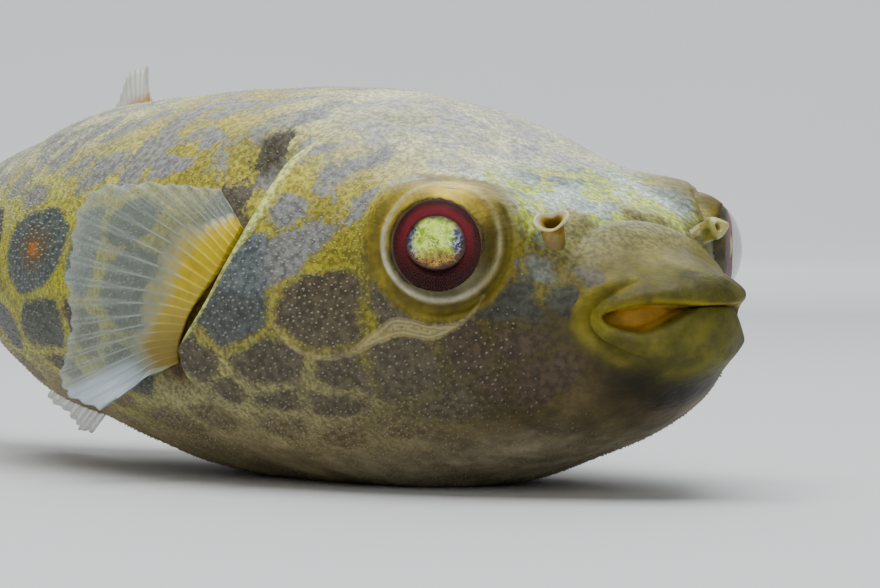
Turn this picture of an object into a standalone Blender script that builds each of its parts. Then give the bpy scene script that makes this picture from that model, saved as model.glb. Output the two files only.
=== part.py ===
"""A freshwater pufferfish at life size, lying on its belly.

The fish faces +X, its left side is +Y and +Z is up.  All the sizes below are
in millimetres in the fish's own measures: t is the distance back from the
snout, b the distance to the fish's right, z the height over the floor.
"""
import bpy
import numpy as np

MM = 0.001
HALF_LENGTH = 66.16         # from the middle of the fish to the front of its lips
GAP = 0.3                   # the thin cut between neighbouring pieces
AROUND = 40                 # vertices around the body

# Each loop of the body: half width, height of the widest level, rise above it,
# drop below it, t at the top, t at the bottom, t at the sides, squareness of the
# upper half and squareness of the lower half.
LOOPS = np.array([
    [6.1, 14.7, 0.02, 0.02, 3.5, 3.5, 7.8, 2.6, 2.6],         # inside the mouth
    [6.3, 14.2, 0.55, 1.00, 3.3, 3.6, 7.6, 3.0, 3.0],
    [6.5, 14.2, 0.75, 1.40, 2.5, 3.0, 7.2, 3.0, 3.0],         # inner edge of the lips
    [7.0, 14.2, 1.20, 2.00, 1.0, 1.6, 6.6, 2.5, 2.5],         # front of the lips
    [7.5, 14.1, 2.20, 2.80, 1.2, 1.4, 6.5, 2.3, 2.3],
    [7.8, 14.0, 2.95, 3.60, 2.6, 2.4, 7.2, 2.2, 2.2],         # groove behind the lips
    [8.5, 14.0, 4.00, 4.80, 4.8, 4.0, 8.3, 2.2, 2.1],
    [10.0, 13.9, 5.30, 6.70, 8.2, 7.0, 10.2, 2.2, 2.1],       # snout
    [12.4, 13.6, 7.90, 8.80, 12.2, 11.5, 12.8, 2.8, 2.1],     # nostrils
    [14.6, 13.3, 10.50, 10.50, 17.0, 17.0, 17.0, 3.2, 2.1],   # eyes
    [16.8, 13.1, 12.90, 12.00, 22.5, 23.0, 22.5, 2.8, 2.1],   # brow
    [18.4, 13.2, 15.00, 13.40, 29.0, 29.0, 29.0, 2.4, 2.1],
    [19.3, 13.6, 16.90, 14.30, 36.0, 36.0, 36.0, 2.15, 2.1],  # edge of the gill cover
    [19.0, 14.0, 17.60, 14.70, 46.0, 46.0, 46.0, 2.05, 2.1],
    [18.2, 14.6, 16.90, 14.50, 55.0, 55.0, 55.0, 2.0, 2.1],
    [16.6, 15.6, 15.50, 13.20, 65.0, 65.0, 65.0, 2.0, 2.05],
    [14.0, 16.6, 13.50, 12.70, 75.0, 75.0, 75.0, 2.0, 2.0],   # dorsal fin
    [10.2, 17.2, 10.80, 10.70, 84.0, 84.0, 84.0, 2.0, 2.0],
    [7.0, 17.8, 8.60, 8.40, 92.0, 92.0, 92.0, 2.0, 2.0],
    [4.9, 18.0, 7.10, 7.00, 99.0, 99.0, 99.0, 2.0, 2.0],      # tail stem
    [3.2, 18.1, 6.60, 6.60, 105.5, 105.5, 105.5, 2.1, 2.1],
    [1.2, 18.1, 6.40, 6.40, 110.0, 110.0, 110.0, 2.3, 2.3],
])

EYE_MIDDLE = {1: np.array([17.3, 13.1, 19.1]), -1: np.array([17.3, -12.4, 18.6])}
EYE_FACING = np.array([-0.573, 0.817, 0.06])
EYE_RADIUS = 4.6
LIP_HALF_ANGLE = np.radians(80)

# Rays of the fins as (t, b, z) of the start and of the end; the pectorals' are for the right.
PECTORAL_ROOTS = np.array([[38.0, 16.1, 20.2], [38.3, 16.9, 18.6], [39.2, 17.3, 17.0], [40.9, 17.7, 15.2],
                           [42.6, 17.9, 13.6], [44.2, 17.7, 11.9], [45.4, 17.3, 10.2]])
PECTORAL_TIPS = np.array([[40.5, 16.7, 23.6], [44.6, 19.4, 24.1], [49.2, 22.6, 23.2], [50.8, 23.7, 17.9],
                          [51.0, 23.8, 12.2], [51.2, 24.0, 8.4], [48.0, 21.8, 5.9]])
DORSAL_ROOTS = np.array([[70.5, 0, 28.5], [73.5, 0, 28.2], [76.5, 0, 27.6], [79.5, 0, 26.8]])
DORSAL_TIPS = np.array([[77.8, -3.9, 34.3], [82.0, -5.6, 34.0], [85.4, -6.2, 31.4], [86.5, -4.6, 28.8]])
ANAL_ROOTS = np.array([[75.0, 0, 6.6], [77.5, 0, 7.0], [80.0, 0, 7.6], [82.5, 0, 8.6]])
ANAL_TIPS = np.array([[83.0, -1.6, 1.8], [87.0, -2.0, 2.2], [90.0, -1.8, 4.0], [90.5, -1.2, 6.2]])
TAIL_ROOTS = np.array([[108.6, 0, 24.1], [109.4, 0, 21.2], [109.6, 0, 18.1], [109.4, 0, 15.0],
                       [108.6, 0, 12.1]])
TAIL_TIPS = np.array([[128.5, 0, 29.4], [132.2, 0, 24.4], [133.4, 0, 18.0], [132.2, 0, 11.6],
                      [128.5, 0, 6.6]])

# Nostril tubes: foot on the head, then how far the tip stands from the foot.
NOSTRIL_FOOT = {1: np.array([11.9, 7.2, 17.9]), -1: np.array([11.7, -7.5, 18.3])}
NOSTRIL_RISE = {1: np.array([-1.6, 1.6, 3.9]), -1: np.array([-3.3, -1.4, 2.2])}

COLOURS = {
    "head": (0.24, 0.21, 0.08, 1), "upper_lip": (0.30, 0.25, 0.04, 1), "lower_lip": (0.25, 0.22, 0.05, 1),
    "trunk": (0.30, 0.26, 0.10, 1), "tail_stem": (0.28, 0.25, 0.11, 1), "tail_fin": (0.42, 0.40, 0.30, 1),
    "dorsal_fin": (0.55, 0.52, 0.40, 1), "anal_fin": (0.55, 0.52, 0.40, 1),
    "pectoral_fin_right": (0.50, 0.42, 0.20, 1), "pectoral_fin_left": (0.50, 0.42, 0.20, 1),
    "eye_right": (0.16, 0.01, 0.02, 1), "eye_left": (0.16, 0.01, 0.02, 1),
    "nostril_right": (0.55, 0.33, 0.05, 1), "nostril_left": (0.55, 0.33, 0.05, 1),
}


def clear_scene():
    for thing in list(bpy.data.objects):
        bpy.data.objects.remove(thing, do_unlink=True)


def collection(name, hidden=False):
    made = bpy.data.collections.new(name)
    bpy.context.scene.collection.children.link(made)
    made.hide_render = hidden
    return made


def material(name, colour):
    made = bpy.data.materials.new(name)
    made.use_nodes = True
    shader = made.node_tree.nodes["Principled BSDF"]
    shader.inputs["Base Color"].default_value = colour
    shader.inputs["Roughness"].default_value = 0.4
    return made


def ease(a, b, x):
    u = np.clip((x - a) / (b - a), 0.0, 1.0)
    return u * u * (3 - 2 * u)


def between_loops(s):
    """The loop sizes at station s, carried smoothly from loop to loop."""
    s = np.clip(s, 0, len(LOOPS) - 1 - 1e-9)
    i = s.astype(int)
    f = (s - i)[..., None]
    slope = np.gradient(LOOPS, axis=0)
    rise = 3 * f * f - 2 * f ** 3
    bend = slope[i] * (f ** 3 - 2 * f * f + f) + slope[i + 1] * (f ** 3 - f * f)
    return LOOPS[i] * (1 - rise) + LOOPS[i + 1] * rise + bend


def gill_line(z):
    """t of the edge of the gill cover at height z."""
    return 33.4 + 0.042 * np.clip(25.0 - z, 0.0, 14.0) ** 2 * ease(0.5, 9.0, z)


def push_sideways(points, grow):
    """Points moved out from the middle line of the fish by grow."""
    out = points[..., 1:] - np.array([0.0, 15.5])
    out /= np.linalg.norm(out, axis=-1, keepdims=True) + 1e-9
    moved = points.copy()
    moved[..., 1:] += out * np.asarray(grow)[..., None]
    return moved


def eye_swelling(points, side):
    """The skin drawn out to a low round swelling around the eye of one side."""
    middle = EYE_MIDDLE[side]
    facing = EYE_FACING / np.linalg.norm(EYE_FACING) * [1, side, 1]
    away = points - middle
    height = away @ facing
    radius = np.linalg.norm(away - height[..., None] * facing, axis=-1)
    own = ease(-3, 3, height) * (points[..., 1] * side > 0)
    wanted = 2.3 - 1.6 * ease(4.3, 8.5, radius)
    pull = (wanted - height) * (1 - ease(4.6, 8.5, radius)) * own
    return points + facing * pull[..., None]


def body(s, angle, grow=0.0):
    """The skin at station s and angle round the body (0 is the belly line)."""
    wide, level, up, down, t_top, t_bottom, t_side, n_up, n_down = np.moveaxis(between_loops(s), -1, 0)
    c = np.cos(angle)
    d = np.sin(angle)
    above = c < 0
    n = np.where(above, n_up, n_down)
    tall = np.where(above, up, down)
    k = (np.abs(d) ** n + np.abs(c) ** n) ** (-1 / n)
    t = t_side + (np.where(above, t_top, t_bottom) - t_side) * c * c
    b = wide * k * d
    pinch = 1 - np.where(above, 0.5, 0.7) * (1 - ease(3, 5, s)) * (1 - ease(1.5, 5.5, np.abs(b)))
    z = level - tall * k * c * pinch - 0.35 * (1 - ease(4, 8, s)) * (np.abs(b) / 7.0) ** 2
    near_gill = ease(9.5, 12, s) * (1 - ease(12, 15, s))
    t = t + (gill_line(z) - 36.0) * near_gill
    points = np.stack([t, b, z], axis=-1)
    for side in (1, -1):
        points = eye_swelling(points, side)
    low_and_high = ease(6, 10, z) * (1 - ease(24.5, 28.0, z))
    flare = 0.7 * ease(10.8, 12, s) * (s <= 12) - 1.5 * (s > 12) * (1 - ease(12.1, 13.1, s))
    points = push_sideways(points, grow + flare * low_and_high)
    points[..., 2] = np.maximum(points[..., 2], 0.0 - grow)
    return points


def to_world(points):
    """From the fish's own measures to metres, the tail swung a little to the left."""
    points = np.asarray(points, dtype=float)
    swing = 5.0 * (np.clip(points[..., 0] - 58.0, 0.0, None) / 52.0) ** 2
    x = HALF_LENGTH + 1.0 - points[..., 0]
    y = swing - points[..., 1]
    return np.stack([x, y, points[..., 2]], axis=-1) * MM


def new_object(name, vertices, faces, into):
    mesh = bpy.data.meshes.new(name)
    mesh.from_pydata([tuple(v) for v in vertices], [], [tuple(f) for f in faces])
    mesh.update()
    made = bpy.data.objects.new(name, mesh)
    into.objects.link(made)
    return made


def tube_faces(rings, around):
    """Quads between closed rings laid one after another, and a fan over each end."""
    faces = []
    for i in range(rings - 1):
        for j in range(around):
            k = (j + 1) % around
            faces.append((i * around + j, i * around + k, (i + 1) * around + k, (i + 1) * around + j))
    front = rings * around
    last = (rings - 1) * around
    for j in range(around):
        k = (j + 1) % around
        faces.append((front, k, j))
        faces.append((front + 1, last + j, last + k))
    return faces


def loft(name, stations, into, around=AROUND, grow=0.0, hollow=0.0):
    """A closed piece of the body between two stations; hollow sets its two end faces in."""
    angle = np.linspace(0, 2 * np.pi, around, endpoint=False)
    s, a = np.meshgrid(np.asarray(stations, dtype=float), angle, indexing="ij")
    rings = body(s, a, grow)
    front = rings[0].mean(axis=0) + [hollow, 0, 0]
    back = rings[-1].mean(axis=0) - [hollow * 0.75, 0, 0]
    points = np.concatenate([rings.reshape(-1, 3), [front, back]])
    return new_object(name, to_world(points), tube_faces(len(stations), around), into)


def lip(name, upper, into):
    """One lip: its section between the mouth and the groove behind, carried round the mouth."""
    steps = 21
    if upper:
        angle = np.linspace(np.pi - LIP_HALF_ANGLE, np.pi + LIP_HALF_ANGLE, steps)
    else:
        angle = np.linspace(-LIP_HALF_ANGLE, LIP_HALF_ANGLE, steps)
    stations = np.array([2.0, 2.5, 3.0, 3.5, 4.0, 4.5, 4.9])
    a, s = np.meshgrid(angle, stations, indexing="ij")
    section = body(s, a)
    first = section[:, :1].copy()
    last = section[:, -1:].copy()
    inner = first.copy()
    inner[..., 0] = np.maximum(first[..., 0], last[..., 0])
    section = np.concatenate([section, inner], axis=1)
    count = section.shape[1]
    points = section.reshape(-1, 3)
    faces = []
    for i in range(steps - 1):
        for j in range(count):
            k = (j + 1) % count
            faces.append((i * count + j, i * count + k, (i + 1) * count + k, (i + 1) * count + j))
    faces.append(tuple(range(count))[::-1])
    faces.append(tuple((steps - 1) * count + j for j in range(count)))
    return new_object(name, to_world(points), faces, into)


def resample(points, count):
    """Points spread evenly over a short row of given points."""
    at = np.linspace(0, len(points) - 1, count)
    return np.stack([np.interp(at, np.arange(len(points)), points[:, i]) for i in range(3)], axis=1)


def fin(name, roots, tips, thick, into, along=13, across=7, belly=0.0):
    """A thin fin between the starts and the ends of its rays, thinner towards its edge."""
    start = resample(roots, along)[:, None, :]
    end = resample(tips, along)[:, None, :]
    v = np.linspace(0, 1, across)[None, :, None]
    sheet = start + (end - start) * v
    over = np.cross(np.gradient(sheet, axis=0), np.gradient(sheet, axis=1))
    over /= np.linalg.norm(over, axis=-1, keepdims=True)
    sheet = sheet + over * (belly * v * (1 - v) * 4)
    half = (thick * (1 - v) + 0.55 * v) / 2
    points = np.concatenate([(sheet + over * half).reshape(-1, 3), (sheet - over * half).reshape(-1, 3)])
    n = along * across
    faces = []
    for i in range(along - 1):
        for j in range(across - 1):
            q = (i * across + j, (i + 1) * across + j, (i + 1) * across + j + 1, i * across + j + 1)
            faces.append(q)
            faces.append(tuple(n + p for p in q[::-1]))
    rim = [i * across for i in range(along)]
    rim += [(along - 1) * across + j for j in range(1, across)]
    rim += [i * across + across - 1 for i in range(along - 2, -1, -1)]
    rim += [j for j in range(across - 2, 0, -1)]
    for p, q in zip(rim, rim[1:] + rim[:1]):
        faces.append((q, p, n + p, n + q))
    return new_object(name, to_world(points), faces, into)


def pectoral_rays(side):
    """Starts and ends of the pectoral rays of one side, in (t, b, z)."""
    return [table * [1, side, 1] for table in (PECTORAL_ROOTS, PECTORAL_TIPS)]


def ball(name, middle, radius, into, segments=24, rings=14):
    import bmesh
    mesh = bpy.data.meshes.new(name)
    work = bmesh.new()
    bmesh.ops.create_uvsphere(work, u_segments=segments, v_segments=rings, radius=radius * MM)
    work.to_mesh(mesh)
    work.free()
    made = bpy.data.objects.new(name, mesh)
    made.location = to_world(middle)
    into.objects.link(made)
    return made


def nostril(name, side, into):
    """A short soft tube that widens to its mouth, as a bevelled curve turned to a mesh."""
    foot = NOSTRIL_FOOT[side]
    tip = foot + NOSTRIL_RISE[side]
    curve = bpy.data.curves.new(name + "_line", "CURVE")
    curve.dimensions = "3D"
    curve.bevel_depth = 1.0 * MM
    curve.bevel_resolution = 2
    curve.use_fill_caps = True
    line = curve.splines.new("POLY")
    line.points.add(4)
    for i in range(5):
        f = i / 4
        where = to_world(foot + (tip - foot) * f + np.array([0, 0, 0.25]) * np.sin(f * np.pi))
        line.points[i].co = (*where, 1.0)
        line.points[i].radius = 0.85 + 0.25 * f
    guide = bpy.data.objects.new(name + "_line", curve)
    into.objects.link(guide)
    bpy.context.view_layer.update()
    mesh = bpy.data.meshes.new_from_object(guide)
    mesh.name = name
    bpy.data.objects.remove(guide, do_unlink=True)
    made = bpy.data.objects.new(name, mesh)
    into.objects.link(made)
    return made


def cut(thing, cutter):
    step = thing.modifiers.new("cut_" + cutter.name, "BOOLEAN")
    step.operation = "DIFFERENCE"
    step.solver = "EXACT"
    step.object = cutter


def hide(cutter):
    cutter.hide_render = True
    cutter.display_type = "WIRE"


def facing_out(thing):
    """All faces turned outward."""
    import bmesh
    work = bmesh.new()
    work.from_mesh(thing.data)
    bmesh.ops.recalc_face_normals(work, faces=work.faces)
    work.to_mesh(thing.data)
    work.free()


def build():
    clear_scene()
    fish = collection("freshwater_pufferfish")
    tools = collection("cutters", hidden=True)

    made = {}
    head_stations = np.concatenate([np.linspace(5.0, 9.0, 13), np.linspace(9.25, 12.0, 12)])
    trunk_stations = np.concatenate([[12.03, 12.25, 12.55, 12.9], np.linspace(13.25, 16.9, 12)])
    tail_stations = np.concatenate([[16.93], np.linspace(17.25, 20.0, 8), [20.5, 20.95]])
    made["head"] = loft("head", head_stations, fish, hollow=3.6)
    made["trunk"] = loft("trunk", trunk_stations, fish)
    made["tail_stem"] = loft("tail_stem", tail_stations, fish, around=28)
    made["upper_lip"] = lip("upper_lip", True, fish)
    made["lower_lip"] = lip("lower_lip", False, fish)

    made["dorsal_fin"] = fin("dorsal_fin", DORSAL_ROOTS, DORSAL_TIPS, 1.2, fish, belly=-0.6)
    made["anal_fin"] = fin("anal_fin", ANAL_ROOTS, ANAL_TIPS, 1.1, fish, along=9)
    made["tail_fin"] = fin("tail_fin", TAIL_ROOTS, TAIL_TIPS, 1.4, fish, along=15)
    for side, word in ((1, "right"), (-1, "left")):
        roots, tips = pectoral_rays(side)
        made["pectoral_fin_" + word] = fin("pectoral_fin_" + word, roots, tips, 2.2, fish, along=19)
        made["eye_" + word] = ball("eye_" + word, EYE_MIDDLE[side], EYE_RADIUS, fish)
        made["nostril_" + word] = nostril("nostril_" + word, side, fish)
        socket = ball("socket_" + word, EYE_MIDDLE[side], EYE_RADIUS + 0.25, tools)
        hide(socket)
        cut(made["head"], socket)

    front_block = loft("front_block", head_stations, tools, grow=GAP)
    back_block = loft("back_block", np.concatenate([[12.001], trunk_stations[1:], tail_stations]),
                      tools, grow=GAP)
    for block in (front_block, back_block):
        facing_out(block)
        hide(block)
    for word in ("right", "left"):
        cut(made["nostril_" + word], front_block)
        cut(made["pectoral_fin_" + word], back_block)
    for name in ("dorsal_fin", "anal_fin", "tail_fin"):
        cut(made[name], back_block)

    for name, thing in made.items():
        facing_out(thing)
        thing.data.materials.clear()
        thing.data.materials.append(material(name, COLOURS[name]))


build()
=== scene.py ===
# %% [markdown]
# # A freshwater pufferfish, life size
# This lesson builds a museum-style model of a freshwater puffer that lies on its belly.
# The solid model is loaded first. It gives every place and size, and the soft, detailed
# surfaces are then worked out around it, one piece after another.

# %% Load the solid model and keep its box
import bpy
import numpy as np
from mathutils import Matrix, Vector


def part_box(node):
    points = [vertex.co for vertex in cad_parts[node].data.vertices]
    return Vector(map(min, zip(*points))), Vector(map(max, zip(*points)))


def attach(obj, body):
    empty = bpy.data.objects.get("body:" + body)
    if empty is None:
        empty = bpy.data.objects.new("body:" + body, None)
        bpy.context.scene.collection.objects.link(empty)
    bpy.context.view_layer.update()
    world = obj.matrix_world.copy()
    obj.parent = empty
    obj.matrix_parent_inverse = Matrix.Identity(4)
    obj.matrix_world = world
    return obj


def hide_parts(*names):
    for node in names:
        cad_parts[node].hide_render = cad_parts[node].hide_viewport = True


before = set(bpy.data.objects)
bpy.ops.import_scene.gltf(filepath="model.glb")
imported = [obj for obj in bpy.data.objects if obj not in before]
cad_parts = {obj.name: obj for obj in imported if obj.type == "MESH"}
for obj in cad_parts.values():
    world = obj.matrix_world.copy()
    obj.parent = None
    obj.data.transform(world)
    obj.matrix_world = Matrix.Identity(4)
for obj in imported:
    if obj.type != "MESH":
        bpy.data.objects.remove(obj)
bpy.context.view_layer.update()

# %% [markdown]
# ## Measures
# The fish is easiest to describe in its own measures, in millimetres: t is the distance
# back from the snout, b the distance out to its right and z the height over the floor.
# One function turns those into the scene's metres, so no other line has to think about
# where the fish stands or that its tail swings a little to its left.

# %% Fish measures to scene metres
MM = 0.001
SNOUT_X = float(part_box("upper_lip")[1][0]) / MM + 0.92
TAIL_SWING = 5.0
SWING_START = 58.0
SWING_RUN = 52.0
rng = np.random.default_rng(11)


def ease(a, b, x):
    """0 below a, 1 above b, and a smooth S between: u squared times (3 - 2u)."""
    u = np.clip((x - a) / (b - a), 0.0, 1.0)
    return u * u * (3 - 2 * u)


def bell(x, width):
    """A bell curve: 1 at 0 and falling away over width."""
    return np.exp(-(x / width) ** 2)


def unit(v):
    """Vectors of length one along the last axis."""
    return v / (np.linalg.norm(v, axis=-1, keepdims=True) + 1e-12)


def to_scene(points):
    """x runs forward from the tail, y is the swing of the tail less b, z is the height."""
    points = np.asarray(points, dtype=float)
    swing = TAIL_SWING * (np.clip(points[..., 0] - SWING_START, 0.0, None) / SWING_RUN) ** 2
    return np.stack([SNOUT_X - points[..., 0], swing - points[..., 1], points[..., 2]], axis=-1) * MM


def paint(red, green, blue):
    """A paint mixed on a 0 to 255 scale, as the linear light values a shader wants."""
    mixed = np.array([red, green, blue]) / 255.0
    return mixed ** 2.2


print("snout at", round(SNOUT_X, 2), "mm before the middle")

# %% [markdown]
# ## The loops of the body
# A puffer's skin is one closed bag. It could be sculpted, but a loft is easier to steer:
# each row below is one loop around the fish, from inside the mouth, over the lips and the
# snout, to the tail. Between the rows the sizes are carried by smooth curves.

# %% Loop sizes from mouth to tail
# half width, height of the widest level, rise above it, drop below it,
# t at the top, t at the bottom, t at the sides, squareness above and below
LOOPS = np.array([
    [6.1, 14.7, 0.02, 0.02, 3.5, 3.5, 7.8, 2.6, 2.6],         # 0 inside the mouth
    [6.3, 14.2, 0.55, 1.00, 3.3, 3.6, 7.6, 3.0, 3.0],
    [6.5, 14.2, 0.75, 1.40, 2.5, 3.0, 7.2, 3.0, 3.0],         # 2 inner edge of the lips
    [7.0, 14.2, 1.20, 2.00, 1.0, 1.6, 6.6, 2.5, 2.5],         # 3 front of the lips
    [7.5, 14.1, 2.20, 2.80, 1.2, 1.4, 6.5, 2.3, 2.3],
    [7.8, 14.0, 2.95, 3.60, 2.6, 2.4, 7.2, 2.2, 2.2],         # 5 groove behind the lips
    [8.5, 14.0, 3.85, 4.80, 4.8, 4.0, 8.3, 2.1, 2.1],
    [10.0, 13.9, 5.20, 6.70, 8.2, 7.0, 10.2, 2.1, 2.1],       # 7 snout
    [12.4, 13.6, 7.90, 8.80, 12.2, 11.5, 12.8, 2.8, 2.1],     # 8 nostrils
    [14.6, 13.3, 10.50, 10.50, 17.0, 17.0, 17.0, 3.2, 2.1],   # 9 eyes
    [16.8, 13.1, 12.90, 12.00, 22.5, 23.0, 22.5, 2.8, 2.1],   # 10 brow
    [18.4, 13.2, 15.00, 13.40, 29.0, 29.0, 29.0, 2.4, 2.1],
    [19.3, 13.6, 16.90, 14.30, 36.0, 36.0, 36.0, 2.15, 2.1],  # 12 edge of the gill cover
    [19.0, 14.0, 17.60, 14.70, 46.0, 46.0, 46.0, 2.05, 2.1],
    [18.2, 14.6, 16.90, 14.50, 55.0, 55.0, 55.0, 2.0, 2.1],
    [16.6, 15.6, 15.50, 13.20, 65.0, 65.0, 65.0, 2.0, 2.05],
    [14.0, 16.6, 13.50, 12.70, 75.0, 75.0, 75.0, 2.0, 2.0],   # 16 back fin
    [10.2, 17.2, 10.80, 10.70, 84.0, 84.0, 84.0, 2.0, 2.0],
    [7.0, 17.8, 8.60, 8.40, 92.0, 92.0, 92.0, 2.0, 2.0],
    [4.9, 18.0, 7.10, 7.00, 99.0, 99.0, 99.0, 2.0, 2.0],      # 19 tail stem
    [3.2, 18.1, 6.60, 6.60, 105.5, 105.5, 105.5, 2.1, 2.1],
    [1.2, 18.1, 6.40, 6.40, 110.0, 110.0, 110.0, 2.3, 2.3],
])
EYE_MIDDLE = {1: np.array([17.3, 13.1, 19.1]), -1: np.array([17.3, -12.4, 18.6])}
EYE_FACING = unit(np.array([-0.573, 0.817, 0.06]))
EYE_RADIUS = 4.5
EYE_DEPTH = 4.05
CREST_RADIUS = 4.48
RIM_HEIGHT = 1.62
GILL_T = 33.4
GILL_ROW_T = 36.0
CENTRE_HEIGHT = 15.5


def between_loops(s):
    """Sizes at station s: a cubic curve through the two nearest rows with their mean slopes."""
    s = np.clip(s, 0, len(LOOPS) - 1 - 1e-9)
    i = s.astype(int)
    f = (s - i)[..., None]
    slope = np.gradient(LOOPS, axis=0)
    rise = 3 * f * f - 2 * f ** 3
    bend = slope[i] * (f ** 3 - 2 * f * f + f) + slope[i + 1] * (f ** 3 - f * f)
    return LOOPS[i] * (1 - rise) + LOOPS[i + 1] * rise + bend


print(len(LOOPS), "loops, longest half width", LOOPS[:, 0].max(), "mm")

# %% [markdown]
# ## The skin as one function
# Every point of the skin is a function of two numbers: the station along the loops and the
# turn around the body (0 degrees on the belly line, 90 on the right flank, 180 on the back).
# A rounded-square formula gives the cross-section. The eye rims, the gill cover's free edge
# with the hollow behind it, and the folds around the mouth are then added as smooth pushes.

# %% Directions and the gill line


def gill_line(z):
    """t of the gill cover's edge: upright at the top, and it leans back further down."""
    return GILL_T + 0.042 * np.clip(25.0 - z, 0.0, 14.0) ** 2 * ease(0.5, 9.0, z)


def outward(points):
    """Directions away from the fish's middle line, square to its length."""
    return unit(points * [0, 1, 1] - [0, 0, CENTRE_HEIGHT])


print("gill edge at mid height, t =", round(float(gill_line(CENTRE_HEIGHT)), 1), "mm")

# %% [markdown]
# ## The rims of the eyes
# On the animal the skin runs over the ball of the eye and ends in a soft raised rim, with a
# groove and a fold outside it. It could be cut open and stitched, but that leaves seams. Here
# the skin near each eye is led to a wanted height over the ball, so it stays one sheet.

# %% Eye rim formula


def around_eye(points, side):
    """Height over the eye's middle along its axis, distance from that axis, and how far up
    and how far to the front the point lies from it."""
    facing = EYE_FACING * [1, side, 1]
    away = points - EYE_MIDDLE[side]
    height = away @ facing
    flat = away - height[..., None] * facing
    radius = np.linalg.norm(flat, axis=-1)
    up = flat[..., 2] / (radius + 1e-9)
    front = -flat[..., 0] / (radius + 1e-9)
    return height, radius, up, front


def eye_height(radius, grown=0.0):
    """Height of the eye over its middle plane, on a flattened ball: the shares of the radius
    and of the height, each squared, add up to one."""
    share = np.clip(radius / (EYE_RADIUS + grown), 0.0, 1.0)
    return (EYE_DEPTH + grown) * np.sqrt(1 - share ** 2)


def eye_crest(up):
    """Radius of the rim's crest: its own at the sides, a little more above and less below."""
    return CREST_RADIUS + 0.24 * up * np.abs(up)


def eye_rim(points, side):
    """Skin led to a wanted height over the eye: sunk inside the opening, lying on the ball as
    far as the rim, then a groove, an outer fold and a long fall back to the head."""
    height, radius, up, front = around_eye(points, side)
    own = ease(-5, -2, height) * (points[..., 1] * side > 0)
    ahead = ease(-0.2, 1.0, front)
    over = ease(0.1, 0.9, up)
    far = float(side < 0)
    opening = 3.60 + 0.40 * ease(0.1, 0.9, -front)
    opening = opening - (0.2 - 1.05 * far) * ahead - (0.20 + 0.1 * far) * over
    crest = eye_crest(up)
    on_ball = eye_height(radius, 0.07)
    rim = RIM_HEIGHT - (0.25 + 0.75 * far) * ahead - (0.75 + 0.4 * far) * over
    rim = rim + 0.26 * bell(radius - crest, 0.2)
    wanted = 0.3 + (np.maximum(on_ball, rim) - 0.3) * ease(opening - 0.3, opening, radius)
    wanted = wanted - (0.42 - (0.2 + 0.2 * far) * over) * ease(crest + 0.12, crest + 0.55, radius)
    wanted = wanted + (0.18 + 0.30 * ease(-0.2, 0.9, front - 0.4 * up)) * ease(5.05, 5.5, radius)
    wanted = wanted - 0.25 * bell(radius - 6.35, 0.35) * ease(0.0, 0.8, front - 0.5 * up)
    wanted = wanted - 1.6 * ease(5.7, 9.0, radius)
    pull = (wanted - height) * (1 - ease(5.0, 9.0, radius)) * own
    return points + EYE_FACING * [1, side, 1] * pull[..., None]


print("eye ball", 2 * EYE_RADIUS, "mm across, crest of the rim", 2 * CREST_RADIUS, "mm across")

# %% [markdown]
# ## The whole skin
# Now the loop, the rims, the gill cover and the folds are put together. Each fold is a bell
# curve along the body, which is easy to move and never leaves a hard edge.

# %% Skin formula


def skin_shape(station, turn):
    """A rounded-square loop at the station, slid along t, and then its folds and swellings."""
    wide, level, up, down, t_top, t_bottom, t_side, n_up, n_down = np.moveaxis(
        between_loops(station), -1, 0)
    c = np.cos(turn)
    d = np.sin(turn)
    above = c < 0
    n = np.where(above, n_up, n_down)
    tall = np.where(above, up, down)
    k = (np.abs(d) ** n + np.abs(c) ** n) ** (-1 / n)
    t = t_side + (np.where(above, t_top, t_bottom) - t_side) * c * c
    b = wide * k * d * np.where(d < 0, 0.92 + 0.08 * ease(5.5, 8.0, station), 1.0)
    middle = (1 - ease(3, 5, station)) * (1 - ease(1.2, 5.6, np.abs(b)))
    pinch = 1 - np.where(above, 0.5, 1.0) * middle
    z = level - tall * k * c * pinch + np.where(above, 0.0, 0.42 * middle)
    z = z - 0.35 * (1 - ease(4, 8, station)) * (np.abs(b) / 7.0) ** 2
    near_gill = ease(9.5, 12, station) * (1 - ease(12, 15, station))
    t = t + (gill_line(z) - GILL_ROW_T) * near_gill
    points = np.stack([t, b, z], axis=-1)
    for side in (1, -1):
        points = eye_rim(points, side)
    # gill cover: a flared lip in front of the line and a hollow behind it
    tall_enough = ease(6, 10, z) * (1 - ease(24.5, 28.0, z))
    flare = 0.8 * ease(10.8, 11.97, station) * (1 - ease(11.985, 12.03, station))
    hollow = 1.7 * ease(11.985, 12.04, station) * (1 - ease(12.1, 13.1, station))
    hollow = hollow * (1 + 0.5 * ease(17, 22, z))
    push = (flare - hollow) * tall_enough
    # folds: around the mouth corners, across the snout, and the soft unevenness of flesh
    push = push - 0.50 * bell(station - 5.35, 0.22) * ease(4.0, 7.0, np.abs(b))
    push = push + 0.30 * bell(station - 5.9, 0.3) * ease(4.0, 7.0, np.abs(b))
    crease = 7.85 - 0.45 * (b / 6.0) ** 2
    nose = ease(0.2, 0.8, -c) * (1 - ease(7, 10, np.abs(b)))
    push = push + nose * 0.45 * bell(station - crease + 0.55, 0.5)
    push = push - nose * 0.42 * bell(station - crease - 0.04, 0.14)
    lumps = np.sin(0.41 * t + 1.3 * np.sin(0.23 * z))
    lumps = lumps * np.sin(0.37 * z + 0.9 * np.sin(0.19 * b + 0.3 * t))
    push = push + 0.10 * lumps * ease(6, 9, station)
    points = points + outward(points) * push[..., None]
    points[..., 2] = np.maximum(points[..., 2], 0.0)
    return points


print("widest point", skin_shape(np.array([12.0]), np.array([np.pi / 2])).round(1))

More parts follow.
